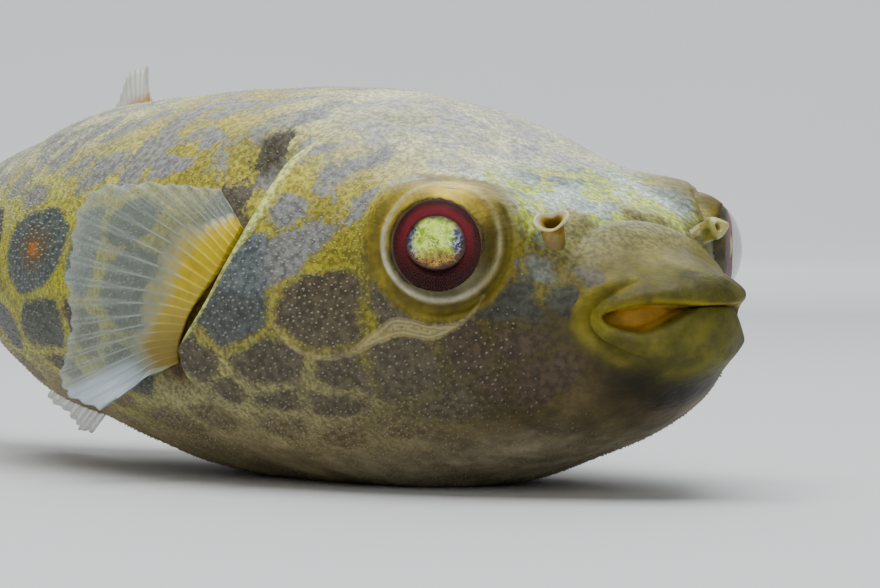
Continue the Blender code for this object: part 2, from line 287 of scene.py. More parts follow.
# %% [markdown]
# ## Turning arrays into meshes
# A mesh is made from whole arrays: the points, four corner numbers per face, and one value
# per point for each painted layer. A closed ring joins its last column back to its first,
# and a fan of triangles closes a tube's end, so the skin has no hole anywhere.

# %% Mesh helpers


def grid_corners(rows, columns, ring):
    """Row and column numbers of the four corners of every face of a grid, in order."""
    last = columns if ring else columns - 1
    i, j = np.meshgrid(np.arange(rows - 1), np.arange(last), indexing="ij")
    i = i.ravel()
    j = j.ravel()
    return np.stack([i, i, i + 1, i + 1], axis=1), np.stack([j, j + 1, j + 1, j], axis=1)


def make_mesh(name, points, loops_of_faces, sizes, uv=None, layers=None, colours=None):
    """An object from points in metres, corner numbers face after face, and face sizes."""
    mesh = bpy.data.meshes.new(name)
    mesh.vertices.add(len(points))
    mesh.vertices.foreach_set("co", np.ascontiguousarray(points, dtype=np.float32).ravel())
    mesh.loops.add(len(loops_of_faces))
    mesh.loops.foreach_set("vertex_index", loops_of_faces.astype(np.int32))
    mesh.polygons.add(len(sizes))
    starts = np.concatenate([[0], np.cumsum(sizes)[:-1]]).astype(np.int32)
    mesh.polygons.foreach_set("loop_start", starts)
    mesh.polygons.foreach_set("use_smooth", np.ones(len(sizes), dtype=bool))
    mesh.update(calc_edges=True)
    if uv is not None:
        mesh.uv_layers.new(name="OFBake").data.foreach_set("uv", uv.astype(np.float32).ravel())
    for key, values in (layers or {}).items():
        mesh.attributes.new(key, "FLOAT", "POINT").data.foreach_set(
            "value", np.asarray(values, dtype=np.float32).ravel())
    for key, values in (colours or {}).items():
        rgba = np.ones((len(points), 4), dtype=np.float32)
        rgba[:, :3] = np.asarray(values).reshape(-1, 3)
        mesh.attributes.new(key, "FLOAT_COLOR", "POINT").data.foreach_set("color", rgba.ravel())
    made = bpy.data.objects.new(name, mesh)
    bpy.context.scene.collection.objects.link(made)
    return made


def tube_mesh(name, points, layers=None, colours=None):
    """Rings of points joined into a tube whose two ends are closed by fans.

    Every face and the zero point make a small pyramid, whose volume is signed. If they add up to
    less than nothing, the faces point inwards and their corners are taken in reverse.
    """
    rows, columns = points.shape[:2]
    i, j = grid_corners(rows, columns, True)
    quads = i * columns + j % columns
    uv = np.stack([j / columns, i / (rows - 1)], axis=-1)
    j0 = np.arange(columns)
    k0 = (j0 + 1) % columns
    first = rows * columns
    last_row = (rows - 1) * columns
    near = np.stack([np.full(columns, first), k0, j0], axis=1)
    far = np.stack([np.full(columns, first + 1), last_row + j0, last_row + k0], axis=1)
    fans = np.concatenate([near, far])
    fan_uv = np.zeros((len(fans), 3, 2))
    fan_uv[:columns, :, 0] = np.stack([(j0 + 0.5), (j0 + 1.0), j0], axis=1) / columns
    fan_uv[columns:, :, 0] = np.stack([(j0 + 0.5), j0, (j0 + 1.0)], axis=1) / columns
    fan_uv[columns:, :, 1] = 1

    def with_ends(values):
        values = np.asarray(values, dtype=float)
        ends = np.stack([values[0].mean(axis=0), values[-1].mean(axis=0)])
        return np.concatenate([values.reshape((rows * columns,) + values.shape[2:]), ends])

    triangles = np.concatenate([quads[:, [0, 1, 2]], quads[:, [0, 2, 3]], fans])
    a, b, c = with_ends(points)[triangles].transpose(1, 0, 2)
    if np.sum(a * np.cross(b, c)) < 0:
        quads = quads[:, ::-1]
        uv = uv[:, ::-1]
        fans = fans[:, ::-1]
        fan_uv = fan_uv[:, ::-1]
    uv = np.concatenate([uv.reshape(-1, 2), fan_uv.reshape(-1, 2)])
    corners = np.concatenate([quads.ravel(), fans.ravel()])
    sizes = np.concatenate([np.full(len(quads), 4), np.full(len(fans), 3)])
    layers = {key: with_ends(value) for key, value in (layers or {}).items()}
    colours = {key: with_ends(value) for key, value in (colours or {}).items()}
    return make_mesh(name, with_ends(points), corners, sizes, uv, layers, colours)


print("a grid of 3 rows and 4 columns has", len(grid_corners(3, 4, False)[0]), "faces")

# %% [markdown]
# ## Where the markings lie
# The fish wears dark cells fenced by a light net. Each cell is a small ellipse on the skin,
# given by its station and turn, half its length and width, its slant and its tone. A point
# belongs to the cell it is deepest inside, and where two dark cells meet, a strip is left for the
# net. The back and the forehead have many small cells, which are strewn evenly with a seed.

# %% Cells of the pattern
TONES = {
    "lilac": paint(128, 129, 124), "blue": paint(98, 105, 105), "slate": paint(80, 84, 80),
    "mauve": paint(134, 135, 130), "pale": paint(164, 167, 160), "spot": paint(82, 90, 84),
    "brown": paint(86, 78, 60), "olive": paint(68, 72, 60), "umber": paint(76, 64, 48),
    "ink": paint(64, 64, 56), "shade": paint(84, 80, 66), "faint": paint(112, 100, 70),
    "haze": paint(104, 108, 98),
}
CELLS = [
    # bars and blots behind the eye, down to the gill cover
    (11.58, 119, 2.1, 1.5, -60, "lilac"), (11.14, 137, 5.2, 1.1, -66, "lilac"),
    (10.40, 128, 2.3, 1.5, -45, "lilac"), (11.00, 114.5, 2.9, 1.5, -55, "lilac"),
    (11.26, 108, 4.2, 1.8, -55, "lilac"), (11.68, 102, 3.4, 2.8, 80, "blue"),
    (11.55, 90, 4.7, 2.9, -52, "slate"), (11.84, 140, 1.9, 1.2, -60, "lilac"),
    # cheek and lower head
    (10.44, 94, 5.6, 3.0, -8, "brown"), (9.62, 96, 3.4, 2.2, 0, "brown"),
    (11.72, 78.5, 3.1, 2.5, 10, "brown"), (11.06, 76, 4.7, 2.5, -6, "brown"),
    (11.52, 67.5, 2.1, 1.7, 0, "brown"), (11.12, 63, 3.0, 1.5, 0, "brown"),
    (10.46, 62, 3.2, 1.6, 0, "brown"), (10.26, 71.5, 3.6, 2.0, 0, "brown"),
    (9.46, 71.5, 4.3, 3.3, 0, "brown"), (9.15, 57, 4.2, 2.3, 0, "brown"),
    (8.50, 77, 3.8, 2.8, 0, "umber"), (7.70, 78, 3.0, 2.5, 0, "umber"),
    (7.60, 55, 3.6, 2.6, 0, "umber"), (8.35, 60, 3.0, 2.0, 0, "umber"),
    (9.90, 49, 3.8, 1.3, 0, "faint"), (11.42, 54, 3.6, 1.5, 5, "faint"),
    (10.76, 50, 3.4, 1.4, -5, "faint"), (12.38, 55, 3.2, 1.5, 0, "faint"),
    # snout sides; the shade cell at station 5.95 is painted shade under the snout dome
    (7.78, 101, 3.8, 3.0, 20, "ink"), (6.75, 104, 2.4, 1.6, 0, "ink"), (7.42, 121, 2.4, 1.2, 30, "haze"),
    (7.80, 117, 1.8, 1.1, 60, "haze"), (5.95, 128, 2.2, 0.8, 10, "shade"),
    # flank behind the gill; its two shade cells are painted shade in the hollow behind the top of the gill
    # cover
    (12.48, 137, 2.6, 1.9, -70, "shade"), (12.58, 120, 3.4, 2.4, -70, "shade"),
    (13.22, 94, 4.8, 3.4, 0, "slate"), (13.62, 112, 3.8, 2.2, -20, "slate"),
    (13.24, 70, 4.6, 2.3, 10, "olive"), (13.04, 52, 4.2, 1.6, 0, "faint"),
    # eye spot with its neighbours, and the tail
    (15.10, 100, 5.9, 3.8, -12, "spot"), (14.24, 102, 4.4, 2.5, 86, "blue"),
    (15.00, 74, 5.2, 2.6, -14, "olive"), (13.98, 78, 4.6, 2.2, 28, "umber"),
    (14.80, 60, 4.5, 1.6, 8, "umber"), (15.95, 68, 3.6, 2.3, 0, "slate"), (13.90, 58, 3.4, 1.5, 5, "faint"),
    (15.25, 119, 4.2, 1.8, -10, "lilac"), (16.25, 97, 3.6, 3.6, 0, "olive"),
    (16.75, 72, 3.6, 2.6, 10, "olive"), (17.15, 98, 3.2, 3.0, 0, "olive"),
    (17.55, 70, 3.0, 2.4, 10, "olive"), (18.10, 100, 3.0, 2.6, 0, "olive"),
    (18.55, 72, 3.0, 2.2, 0, "olive"), (19.25, 98, 2.8, 2.4, 0, "olive"),
    (20.10, 84, 2.6, 2.4, 0, "olive"), (16.10, 48, 3.6, 1.8, 0, "faint"),
]
EYE_SPOT = (15.10, 100)
MERGING = ("lilac", "blue", "slate")


def strewn_cells():
    """Small cells in jittered rows over the back and over the forehead."""
    made = []
    for row, turn in enumerate((128, 142, 156, 171)):
        for station in np.arange(12.55 + 0.22 * (row % 2), 19.3, 0.46):
            a, b, c, d = rng.uniform(-1, 1, 4)
            long, wide = 3.0 + 0.9 * c, 1.5 + 0.4 * d
            made.append((station + 0.12 * a, turn + 5 * b, long, wide, -38 + 26 * a, "mauve"))
    for row, turn in enumerate((141, 152, 163, 174)):
        for station in np.arange(9.75 + 0.16 * (row % 2), 12.2, 0.34):
            a, b, c, d = rng.uniform(-1, 1, 4)
            long, wide = 1.9 + 0.5 * c, 0.8 + 0.2 * d
            made.append((station + 0.08 * a, turn + 3 * b, long, wide, -30 + 30 * b, "pale"))
    return [cell for cell in made if not (10.2 < cell[0] < 11.8 and cell[1] < 149)]


CELLS = CELLS + strewn_cells()
print(len(CELLS), "cells on each side")

# %% [markdown]
# ## Painting by formula
# The ground colour comes from soft washes: yellow gold on the back, olive on the flank, tan
# on the belly and brown on the chin, darkened there as painted shade. The cells and the light net are kept
# as distances in
# millimetres, not as colours, because a distance stays exact between two points of the mesh,
# and the shader can then draw a crisp, slightly ragged edge from it.

# %% Paints of the skin
GOLD = paint(172, 162, 64)
FLANK = paint(146, 138, 44)
NET = paint(146, 140, 94)
NET_BRIGHT = paint(176, 174, 44)
BELLY = paint(150, 136, 98)
BELLY_FRONT = paint(164, 152, 122)
HEAD_SIDE_AND_SHADE = paint(74, 66, 40)
CHIN_AND_SHADE = paint(68, 57, 30)
UNDER_CHIN_SHADE = paint(40, 36, 18)
CHIN_LIGHT = paint(112, 98, 64)
SNOUT_SIDE = paint(104, 96, 36)
SNOUT = paint(122, 118, 70)
BROW = paint(166, 176, 134)
LIP = paint(90, 86, 24)
LIP_GOLD = paint(150, 134, 24)
LIP_SHADE = paint(40, 30, 8)
MOUTH = paint(164, 124, 34)
RIM = paint(198, 194, 166)
LID = paint(212, 184, 50)
ORBIT = paint(122, 108, 30)
EYE_OLIVE = paint(92, 80, 28)
EYE_GREY = paint(104, 98, 68)
FAR_EYE_SHADE = paint(46, 46, 26)
SILVER_AND_HIGHLIGHT = paint(204, 206, 172)
GILL_EDGE = paint(200, 208, 126)
SLIT_SHADE = paint(70, 46, 28)
LINE_STATIONS = [8.22, 8.36, 8.60, 9.05, 9.50, 9.86, 10.12, 10.40, 10.66, 10.90, 11.08, 11.15, 11.15]
LINE_TURNS = [102, 94.5, 89, 86.5, 89, 84.5, 79.5, 78, 80.5, 86, 92, 97, 102]
LINE_WIDTHS = [0.06, 0.09, 0.2, 0.55, 0.7, 0.42, 0.18, 0.13, 0.12, 0.12, 0.11, 0.1, 0.07]


def fade(under, over, amount):
    """Mixes two colours: under where amount is 0 and over where it is 1."""
    amount = np.asarray(amount)[..., None]
    return under * (1 - amount) + over * amount


def smooth_row(rows, at):
    """A cubic curve through a short row of points, read at fractions 0 to 1."""
    rows = np.asarray(rows, dtype=float)
    place = np.clip(at, 0, 1) * (len(rows) - 1)
    i = np.minimum(place.astype(int), len(rows) - 2)
    f = (place - i)[:, None]
    slope = np.gradient(rows, axis=0)
    rise = 3 * f * f - 2 * f ** 3
    return (rows[i] * (1 - rise) + rows[i + 1] * rise + slope[i] * (f ** 3 - 2 * f * f + f)
            + slope[i + 1] * (f ** 3 - f * f))


print("sense line of", len(LINE_STATIONS), "points under each eye")

# %% [markdown]
# ## Distances to cells and lines
# The markings could be painted on a flat sheet and wrapped around the fish, but they would
# stretch over its round head. The distance from each point of the skin to each cell is
# worked out instead, measured in space, so every cell keeps its size.

# %% Distances to cells and lines


def cell_layers(points, side):
    """How deep each point lies inside its cell in mm, and that cell's tone."""
    best = np.full(points.shape[:-1], -9.0)
    second = best.copy()
    merges = np.zeros(best.shape, dtype=bool)
    tone = np.zeros(points.shape)
    total = np.full(best.shape, 1e-9)
    for station, turn, long, wide, slant, name in CELLS:
        angle = np.radians(turn) * side
        at = np.array([station, station + 0.02, station])
        turns = np.array([angle, angle, angle + 0.01 * side])
        here, back, up = skin_shape(at, turns)
        slant = np.radians(slant)
        along = unit(unit(back - here) * np.cos(slant) + unit(up - here) * np.sin(slant))
        away = points - here
        lengthwise = away @ along
        square = np.sum(away ** 2, axis=-1) - lengthwise ** 2
        depth = (1 - np.sqrt(np.maximum(square, 0) / wide ** 2 + lengthwise ** 2 / long ** 2)) * wide
        deeper = depth > best
        rival = np.where(merges & (name in MERGING), -9.0, np.where(deeper, best, depth))
        second = np.maximum(second, rival)
        merges = np.where(deeper, name in MERGING, merges)
        weight = np.exp(3.0 * np.clip(depth, -6, 6))
        tone = tone + weight[..., None] * TONES[name]
        total = total + weight
        best = np.where(deeper, depth, best)
    return np.minimum(best, (best - second) / 2 - 0.28), tone / total[..., None]


def line_layer(points, side):
    """Distance to the pale sense line under the eye, less the line's own half width."""
    path = smooth_row(np.column_stack([LINE_STATIONS, LINE_TURNS, LINE_WIDTHS]), np.linspace(0, 1, 120))
    places = skin_shape(path[:, 0], np.radians(path[:, 1]) * side)
    nearest = np.full(points.shape[:-1], 9.0)
    for place, width in zip(places, path[:, 2]):
        nearest = np.minimum(nearest, np.linalg.norm(points - place, axis=-1) - width)
    return nearest


print("dark cells that merge without a strip of net:", ", ".join(MERGING))

# %% [markdown]
# ## Laying the washes
# Under the cells the animal shades from gold on the back to tan on the belly, with a brown
# chin and olive lips; the lower head and the upper lip are also painted darker as shade. Each wash is one
# colour faded in over a soft region of the body, from
# the widest wash to the smallest, just as a model maker lays thin coats with a brush.

# %% Laying the washes


def ground_wash(station, turn, points):
    """The colour of the skin without its cells, as soft washes laid one over another."""
    t, b, z = np.moveaxis(points, -1, 0)
    high = -np.cos(turn)
    ground = fade(BELLY, NET, ease(-0.80, -0.45, high))
    ground = fade(ground, FLANK, ease(-0.45, 0.05, high))
    ground = fade(ground, GOLD, ease(0.3, 0.8, high))
    # pale silver over the nape, brightened there as a painted highlight of the top light
    ground = fade(ground, SILVER_AND_HIGHLIGHT, 0.85 * ease(0.6, 1.0, high) * ease(11, 18, t) * (1 - ease(34, 48, t)))
    ground = fade(ground, BELLY_FRONT, ease(-0.66, -0.90, high) * (1 - ease(26, 38, t)) * ease(9, 15, t))
    ground = fade(ground, SILVER_AND_HIGHLIGHT, 0.7 * ease(48, 74, t) * ease(0.1, 0.6, high))
    # the lower side of the head: its own dark brown, laid darker towards the bottom as painted shade
    cheek = ease(0.5, 0.05, high) * (1 - ease(13.0, 24, t)) * ease(-1.0, -0.75, high)
    ground = fade(ground, HEAD_SIDE_AND_SHADE, 0.92 * cheek)
    cheek = ease(0.1, -0.3, high) * (1 - ease(22, 36, t)) * ease(-0.9, -0.6, high)
    ground = fade(ground, HEAD_SIDE_AND_SHADE, 0.5 * cheek)
    # the chin: its own dark brown, painted darker as shade under the head, and near black as painted shade
    # under the chin's tip
    ground = fade(ground, CHIN_AND_SHADE, ease(0.0, -0.55, high) * (1 - ease(6, 17, t)) * 0.95)
    ground = fade(ground, UNDER_CHIN_SHADE, ease(-0.7, -0.92, high) * (1 - ease(6.0, 9.0, t)))
    ground = fade(ground, SNOUT_SIDE, ease(0.05, 0.4, high) * (1 - ease(10.5, 14.5, t)))
    wavy = station + 0.24 * np.sin(0.9 * b) + 0.13 * np.sin(2.3 * b + 1.0)
    dome = ease(0.55, 0.88, high) * (1 - ease(7.4, 8.5, wavy)) * ease(6.4, 7.5, station)
    ground = fade(ground, SNOUT, dome)
    brow = ease(0.55, 0.8, high) * ease(7.7, 8.4, wavy) * (1 - ease(9.2, 9.9, station))
    ground = fade(ground, BROW, brow)
    lips = 1 - ease(5.5, 6.5, station)
    corner = ease(3.5, 6.0, np.abs(b))
    golden = 0.6 * corner * (0.3 + 0.7 * ease(-0.4, 0.4, high))
    ground = fade(ground, fade(LIP, LIP_GOLD, golden), lips)
    # the upper lip darkened as painted shade under the snout dome
    ground = fade(ground, LIP * 0.55, 0.75 * lips * bell(station - 4.6, 0.8) * ease(0.1, 0.6, high))
    ground = fade(ground, LIP_GOLD, 0.65 * lips * bell(station - 3.0, 0.35) * ease(-0.3, 0.2, high))
    ground = fade(ground, LIP_SHADE, 0.8 * bell(station - 2.28, 0.12) * ease(-0.1, 0.2, high))
    ground = fade(ground, MOUTH, 1 - ease(2.0, 2.5, station))
    return ground, brow


def skin_paint(station, turn, points):
    """All painted layers of the skin at these points."""
    t, b, z = np.moveaxis(points, -1, 0)
    right = b >= 0
    high = -np.cos(turn)
    ground, brow = ground_wash(station, turn, points)
    cells = np.empty(t.shape)
    tone = np.empty(points.shape)
    line = np.empty(t.shape)
    orbit = np.full(t.shape, 20.0)
    bearing = np.zeros(t.shape)
    # no cells on the lips, the front of the snout and the chin
    quiet = 1 - ease(5.4, 6.2, station) * ease(-0.99, -0.70, high)
    quiet = np.maximum(quiet, ease(0.82, 0.92, high) * (1 - ease(7.9, 8.3, station)))
    for side in (1, -1):
        own = right if side > 0 else ~right
        cells[own], tone[own] = cell_layers(points[own], side)
        line[own] = line_layer(points[own], side)
        height, radius, up, front = around_eye(points[own], side)
        orbit[own] = np.where(height > -4, radius, 20.0)
        bearing[own] = np.arctan2(up, front)
    up = np.sin(bearing)
    front = np.cos(bearing)
    crest = eye_crest(up)
    brow = brow * ease(5.4, 6.9, orbit)
    ground = fade(ground, ORBIT, (1 - ease(5.7, 7.4, orbit)) * 0.85)
    # painted shade in the groove outside the eye's rim, on its lower and front side
    ground = fade(ground, ORBIT * 0.55, 0.6 * bell(orbit - crest - 0.45, 0.25) * ease(0.3, -0.3, up - front))
    inner = 1 - ease(crest - 0.3, crest - 0.05, orbit)
    ground = fade(ground, EYE_OLIVE, inner)
    ground = fade(ground, EYE_GREY, inner * ease(-0.2, -0.8, up))
    gold = np.where(right, 1.0, 0.25) * ease(0.0, 0.55, up - 0.35 * front)
    gold = gold * (0.40 + 0.55 * bell(front - 0.08, 0.30))
    ground = fade(ground, LID, (1 - ease(crest + 0.1, crest + 0.9, orbit)) * gold)
    # painted shade on the far eye's skin in front of and below it
    far_front_shade = (1 - ease(6.0, 8.0, orbit)) * ease(-0.1, 0.4, front) * ease(0.5, 0.1, up) * ~right
    ground = fade(ground, FAR_EYE_SHADE, far_front_shade)
    brow = brow * (1 - far_front_shade)
    ground = fade(ground, RIM, bell(orbit - crest, 0.19) * (0.95 - 0.55 * ease(0, 0.8, up))
                  * (1 - 0.65 * ease(0.2, 0.9, front)))
    # painted shade in the groove just outside the rim, above the eye
    ground = fade(ground, ORBIT * 0.5, 0.5 * bell(orbit - crest - 0.34, 0.16) * ease(0.2, 0.9, up))
    under_cheek = bell(t - 9.8, 1.6) * bell(high + 0.82, 0.10)
    ground = fade(ground, CHIN_LIGHT, 0.8 * under_cheek)
    cells = np.minimum(cells, (orbit - 5.9) * 1.2) - 3.0 * np.maximum(quiet, under_cheek)
    upper = ease(15.5, 22, z)
    edge = bell(station - 11.975 + 0.035 * upper, 0.03 + 0.045 * upper) * (station < 12.02)
    ground = fade(ground, GILL_EDGE, edge * ease(8, 12, z) * (1 - ease(25.5, 28, z)) * 0.9)
    # painted shade in the hollow just behind the gill cover's edge, at mid height
    slit_shade = ease(12.0, 12.04, station) * (1 - ease(12.3, 12.7, station))
    slit_shade = slit_shade * ease(20, 15.5, z) * ease(7.0, 9.0, z)
    ground = fade(ground, SLIT_SHADE, 0.92 * slit_shade)
    cells = cells - 3.0 * slit_shade
    cells = np.where(edge > 0.2, cells - 2.5 * edge * ease(10, 14, z) * (1 - ease(25.5, 28, z)), cells)
    spot = skin_shape(np.array([EYE_SPOT[0]] * 2), np.radians([EYE_SPOT[1], -EYE_SPOT[1]]))
    core = np.minimum(np.linalg.norm((points - spot[0]) * [0.55, 1, 1], axis=-1),
                      np.linalg.norm((points - spot[1]) * [0.55, 1, 1], axis=-1))
    vivid = ease(44, 60, t) * ease(-0.8, -0.5, high) * (1 - ease(0.5, 0.8, high))
    soft = ease(0.3, 0.6, high) * ease(7, 9, station)
    smooth = np.maximum(1 - ease(5.6, 7.6, station), 0.85 * (1 - ease(5.0, 6.4, orbit)))
    smooth = np.maximum(smooth, 0.8 * ease(-0.5, -0.85, high) * (1 - ease(40, 60, t)))
    layers = {"cells": cells, "line": line, "core": core, "brow": brow, "orbit": orbit,
              "vivid": vivid, "soft": soft, "smooth": smooth,
              "bearing_x": np.cos(bearing), "bearing_y": up}
    return layers, {"ground": ground, "tone": tone}


print("washes laid from the belly up to the mouth")

# %% [markdown]
# ## The skin mesh
# The stations are spaced closely where the shape is busy: the lips, the eyes and the edge of
# the gill cover. One skin stands in for the head, both lips, the trunk and the tail stem.

# %% Build the skin
AROUND = 328
stations = np.concatenate([
    np.linspace(0, 2.4, 14, endpoint=False), np.linspace(2.4, 6, 42, endpoint=False),
    np.linspace(6, 7.8, 24, endpoint=False), np.linspace(7.8, 10.2, 66, endpoint=False),
    np.linspace(10.2, 11.9, 26, endpoint=False), np.linspace(11.9, 12.1, 16, endpoint=False),
    np.linspace(12.1, 20.95, 110)])
# more columns where the eyes are: each degree counts double between 84 and 146 degrees
fine = np.linspace(0, 2 * np.pi, 2001)
crowding = 1 + sum(bell((np.degrees(fine) - place) / 34, 1.0) ** 2 for place in (113, 247))
filled = np.concatenate([[0], np.cumsum((crowding[1:] + crowding[:-1]) / 2)])
turns = np.interp(np.arange(AROUND) / AROUND, filled / filled[-1], fine)
station_grid, turn_grid = np.meshgrid(stations, turns, indexing="ij")
skin_points = skin_shape(station_grid, turn_grid)
skin_layers, skin_colours = skin_paint(station_grid, turn_grid, skin_points)
raised = 0.13 * (1 - ease(-0.15, 0.25, skin_layers["line"])) * ease(-0.7, -0.1, skin_layers["line"])
skin_points = skin_points + outward(skin_points) * raised[..., None]
skin = tube_mesh("skin", to_scene(skin_points), skin_layers, skin_colours)
print("skin", len(stations), "x", AROUND, "->", 2 * len(stations) * AROUND, "triangles")

# %% [markdown]
# ## A short hand for shader nodes
# A material is a network of nodes. Making each node and link by hand takes four lines, which
# hides what the finish does. This small class makes a node in one call and hands back its
# socket, so that a finish reads like a sum.

# %% Node helpers


class Shader:
    """A small wrapper that makes nodes, links them and hands back their sockets."""

    def __init__(self, name):
        self.material = bpy.data.materials.new(name)
        self.material.use_nodes = True
        self.tree = self.material.node_tree
        self.out = self.tree.nodes["Principled BSDF"]

    def node(self, kind, settings=None, **inputs):
        made = self.tree.nodes.new(kind)
        for key, value in (settings or {}).items():
            setattr(made, key, value)
        for key, value in inputs.items():
            key = int(key[1:]) if key[0] == "i" and key[1:].isdigit() else key.replace("_", " ")
            self.put(made.inputs[key], value)
        return made

    def put(self, socket, value):
        if isinstance(value, bpy.types.NodeSocket):
            self.tree.links.new(value, socket)
        else:
            socket.default_value = value

    def set(self, name, value):
        self.put(self.out.inputs[name], value)

    def layer(self, name, what="Fac"):
        return self.node("ShaderNodeAttribute", {"attribute_name": name}).outputs[what]

    def place(self):
        return self.node("ShaderNodeTexCoord").outputs["Object"]

    def noise(self, scale, detail=3.0, roughness=0.55):
        made = self.node("ShaderNodeTexNoise", Vector=self.place(), Scale=scale, Detail=detail)
        made.inputs["Roughness"].default_value = roughness
        return made.outputs["Fac"]

    def math(self, operation, a, b=0.0, c=0.0):
        return self.node("ShaderNodeMath", {"operation": operation}, i0=a, i1=b, i2=c).outputs[0]

    def times(self, a, b):
        return self.math("MULTIPLY", a, b)

    def plus(self, a, b):
        return self.math("ADD", a, b)

    def minus(self, a, b):
        return self.math("SUBTRACT", a, b)

    def size_of(self, a):
        return self.math("ABSOLUTE", a)

    def span(self, value, low, high, out_low=0.0, out_high=1.0):
        made = self.node("ShaderNodeMapRange", {"interpolation_type": "SMOOTHSTEP"}, i0=value)
        for i, number in enumerate((low, high, out_low, out_high), 1):
            made.inputs[i].default_value = number
        return made.outputs[0]

    def mix(self, amount, a, b, blend="MIX"):
        made = self.node("ShaderNodeMix", {"data_type": "RGBA", "blend_type": blend})
        self.put(made.inputs[0], amount)
        for socket, value in ((made.inputs[6], a), (made.inputs[7], b)):
            self.put(socket, value if isinstance(value, bpy.types.NodeSocket) else (*value, 1.0))
        return made.outputs[2]

    def bump(self, *heights):
        """Bumps laid one on another, each given as (height, distance in metres, strength)."""
        normal = None
        for height, distance, strength in heights:
            made = self.node("ShaderNodeBump", Height=height, Distance=distance, Strength=strength)
            if normal is not None:
                self.put(made.inputs["Normal"], normal)
            normal = made.outputs["Normal"]
        self.set("Normal", normal)


def grey(m, value):
    """The same value in all three channels, to darken or lighten a colour by multiplying."""
    return m.node("ShaderNodeCombineColor", i0=value, i1=value, i2=value).outputs[0]


print("node helpers:", ", ".join(name for name in vars(Shader) if not name.startswith("_")))

# %% [markdown]
# ## Skin shader
# The finish is moist and slightly leathery. The shader reads the painted layers, roughens
# the edge of every cell with noise, peppers the yellow with fine dark pigment, and adds a
# bump of pores. Noise reads Object coordinates, so the pattern stays with the fish.

# %% Skin finish


def skin_material():
    """Moist skin: the net's ground under the cells, then the sense line and the eye spot."""
    m = Shader("moist_skin")
    soft = m.layer("soft")
    wander = m.times(m.minus(m.noise(330, 2), 0.5), m.times(soft, 5.0))
    ragged = m.plus(m.times(m.minus(m.noise(620, 3), 0.5), 1.5),
                    m.times(m.minus(m.noise(3400, 2), 0.5), m.plus(m.times(soft, 1.6), 1.0)))
    depth = m.plus(m.layer("cells"), m.plus(ragged, wander))
    inside = m.span(depth, -0.30, 0.34)
    cloud = m.span(m.noise(190, 3), 0.3, 0.7, 0.74, 1.22)
    smudge = m.span(m.noise(260, 4, 0.6), 0.38, 0.62, 0.55, 1.12)
    grain = m.span(m.noise(2500, 2), 0.34, 0.68, 0.55, 1.3)
    flesh = m.span(m.noise(420, 4, 0.65), 0.3, 0.7, 0.72, 1.2)
    grain = m.mix(m.layer("smooth"), grey(m, grain), grey(m, flesh))
    ground = m.mix(1.0, m.layer("ground", "Color"), grey(m, cloud), "MULTIPLY")
    ring = m.times(m.times(m.span(depth, -1.5, -0.5), m.layer("vivid")), 0.75)
    ground = m.mix(ring, ground, NET_BRIGHT)
    ground = m.mix(1.0, ground, grain, "MULTIPLY")
    ground = m.mix(m.layer("smooth"), ground, m.mix(1.0, ground, grey(m, smudge), "MULTIPLY"))
    # the forehead: dark blots under wavy yellow-green lines
    blots = m.span(m.plus(m.noise(150, 2), m.times(ragged, 0.018)), 0.42, 0.58)
    wave = m.size_of(m.minus(m.noise(210, 3), 0.5))
    waves = m.mix(blots, paint(104, 118, 128), paint(192, 210, 200))
    waves = m.mix(m.span(wave, 0.075, 0.015), waves, paint(186, 204, 66))
    ground = m.mix(m.times(m.layer("brow"), 0.85), ground, m.mix(1.0, waves, grain, "MULTIPLY"))
    cell_grain = m.span(m.noise(1900, 3), 0.34, 0.68, 0.62, 1.34)
    dark = m.mix(1.0, m.layer("tone", "Color"), grey(m, cell_grain), "MULTIPLY")
    colour = m.mix(inside, ground, dark)
    # the sense line: pale fibres running along it
    line = m.plus(m.layer("line"), m.times(ragged, 0.22))
    strands = m.math("SINE", m.plus(m.times(m.layer("line"), 22.0), m.times(m.noise(520, 4, 0.7), 13.0)))
    fibres = m.mix(m.span(strands, -1.0, 1.0), paint(146, 136, 88), paint(178, 166, 120))
    colour = m.mix(m.times(m.span(line, 0.20, -0.16), 0.72), colour, fibres)
    haze = m.span(m.plus(m.layer("core"), m.times(ragged, 0.6)), 2.4, 0.6)
    colour = m.mix(m.times(haze, 0.75), colour, paint(106, 78, 26))
    core = m.span(m.plus(m.layer("core"), m.times(ragged, 0.3)), 0.95, 0.25)
    colour = m.mix(core, colour, paint(180, 100, 16))
    m.set("Base Color", colour)
    dullness = m.span(m.noise(700, 2), 0.2, 0.8, 0.44, 0.62)
    m.set("Roughness", m.plus(dullness, m.times(m.layer("smooth"), 0.10)))
    m.set("Specular IOR Level", 0.26)
    m.set("Coat Weight", 0.05)
    m.set("Coat Roughness", 0.25)
    # fine creases run outward from the eye's rim
    spread = m.node("ShaderNodeCombineXYZ", i0=m.times(m.layer("bearing_x"), 4.0),
                    i1=m.times(m.layer("bearing_y"), 4.0), i2=m.times(m.layer("orbit"), 0.35))
    creases = m.node("ShaderNodeTexNoise", Vector=spread.outputs[0], Scale=3.0, Detail=3.0).outputs["Fac"]
    creases = m.times(creases, m.span(m.layer("orbit"), 8.5, 5.4))
    rough = m.minus(1.0, m.times(m.layer("smooth"), 0.6))
    folds = m.times(m.noise(430, 3, 0.6), m.layer("smooth"))
    m.bump((folds, 0.0006, 0.5), (m.times(m.noise(1500, 3), rough), 0.00016, 0.6),
           (m.noise(5200, 2), 0.00006, 0.5), (creases, 0.0003, 0.3))
    return m.material


skin.data.materials.append(skin_material())
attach(skin, "root")
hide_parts("head", "upper_lip", "lower_lip", "trunk", "tail_stem")
print("skin finish of", len(skin.data.materials[0].node_tree.nodes), "nodes")

# %% [markdown]
# ## Spinules
# A puffer has no scales. Its skin carries thousands of tiny spines, each showing as a pale
# point. Each one here is a low cone of a few faces. All of them are worked out at once, as
# one array, and joined into one mesh for each side of the body.

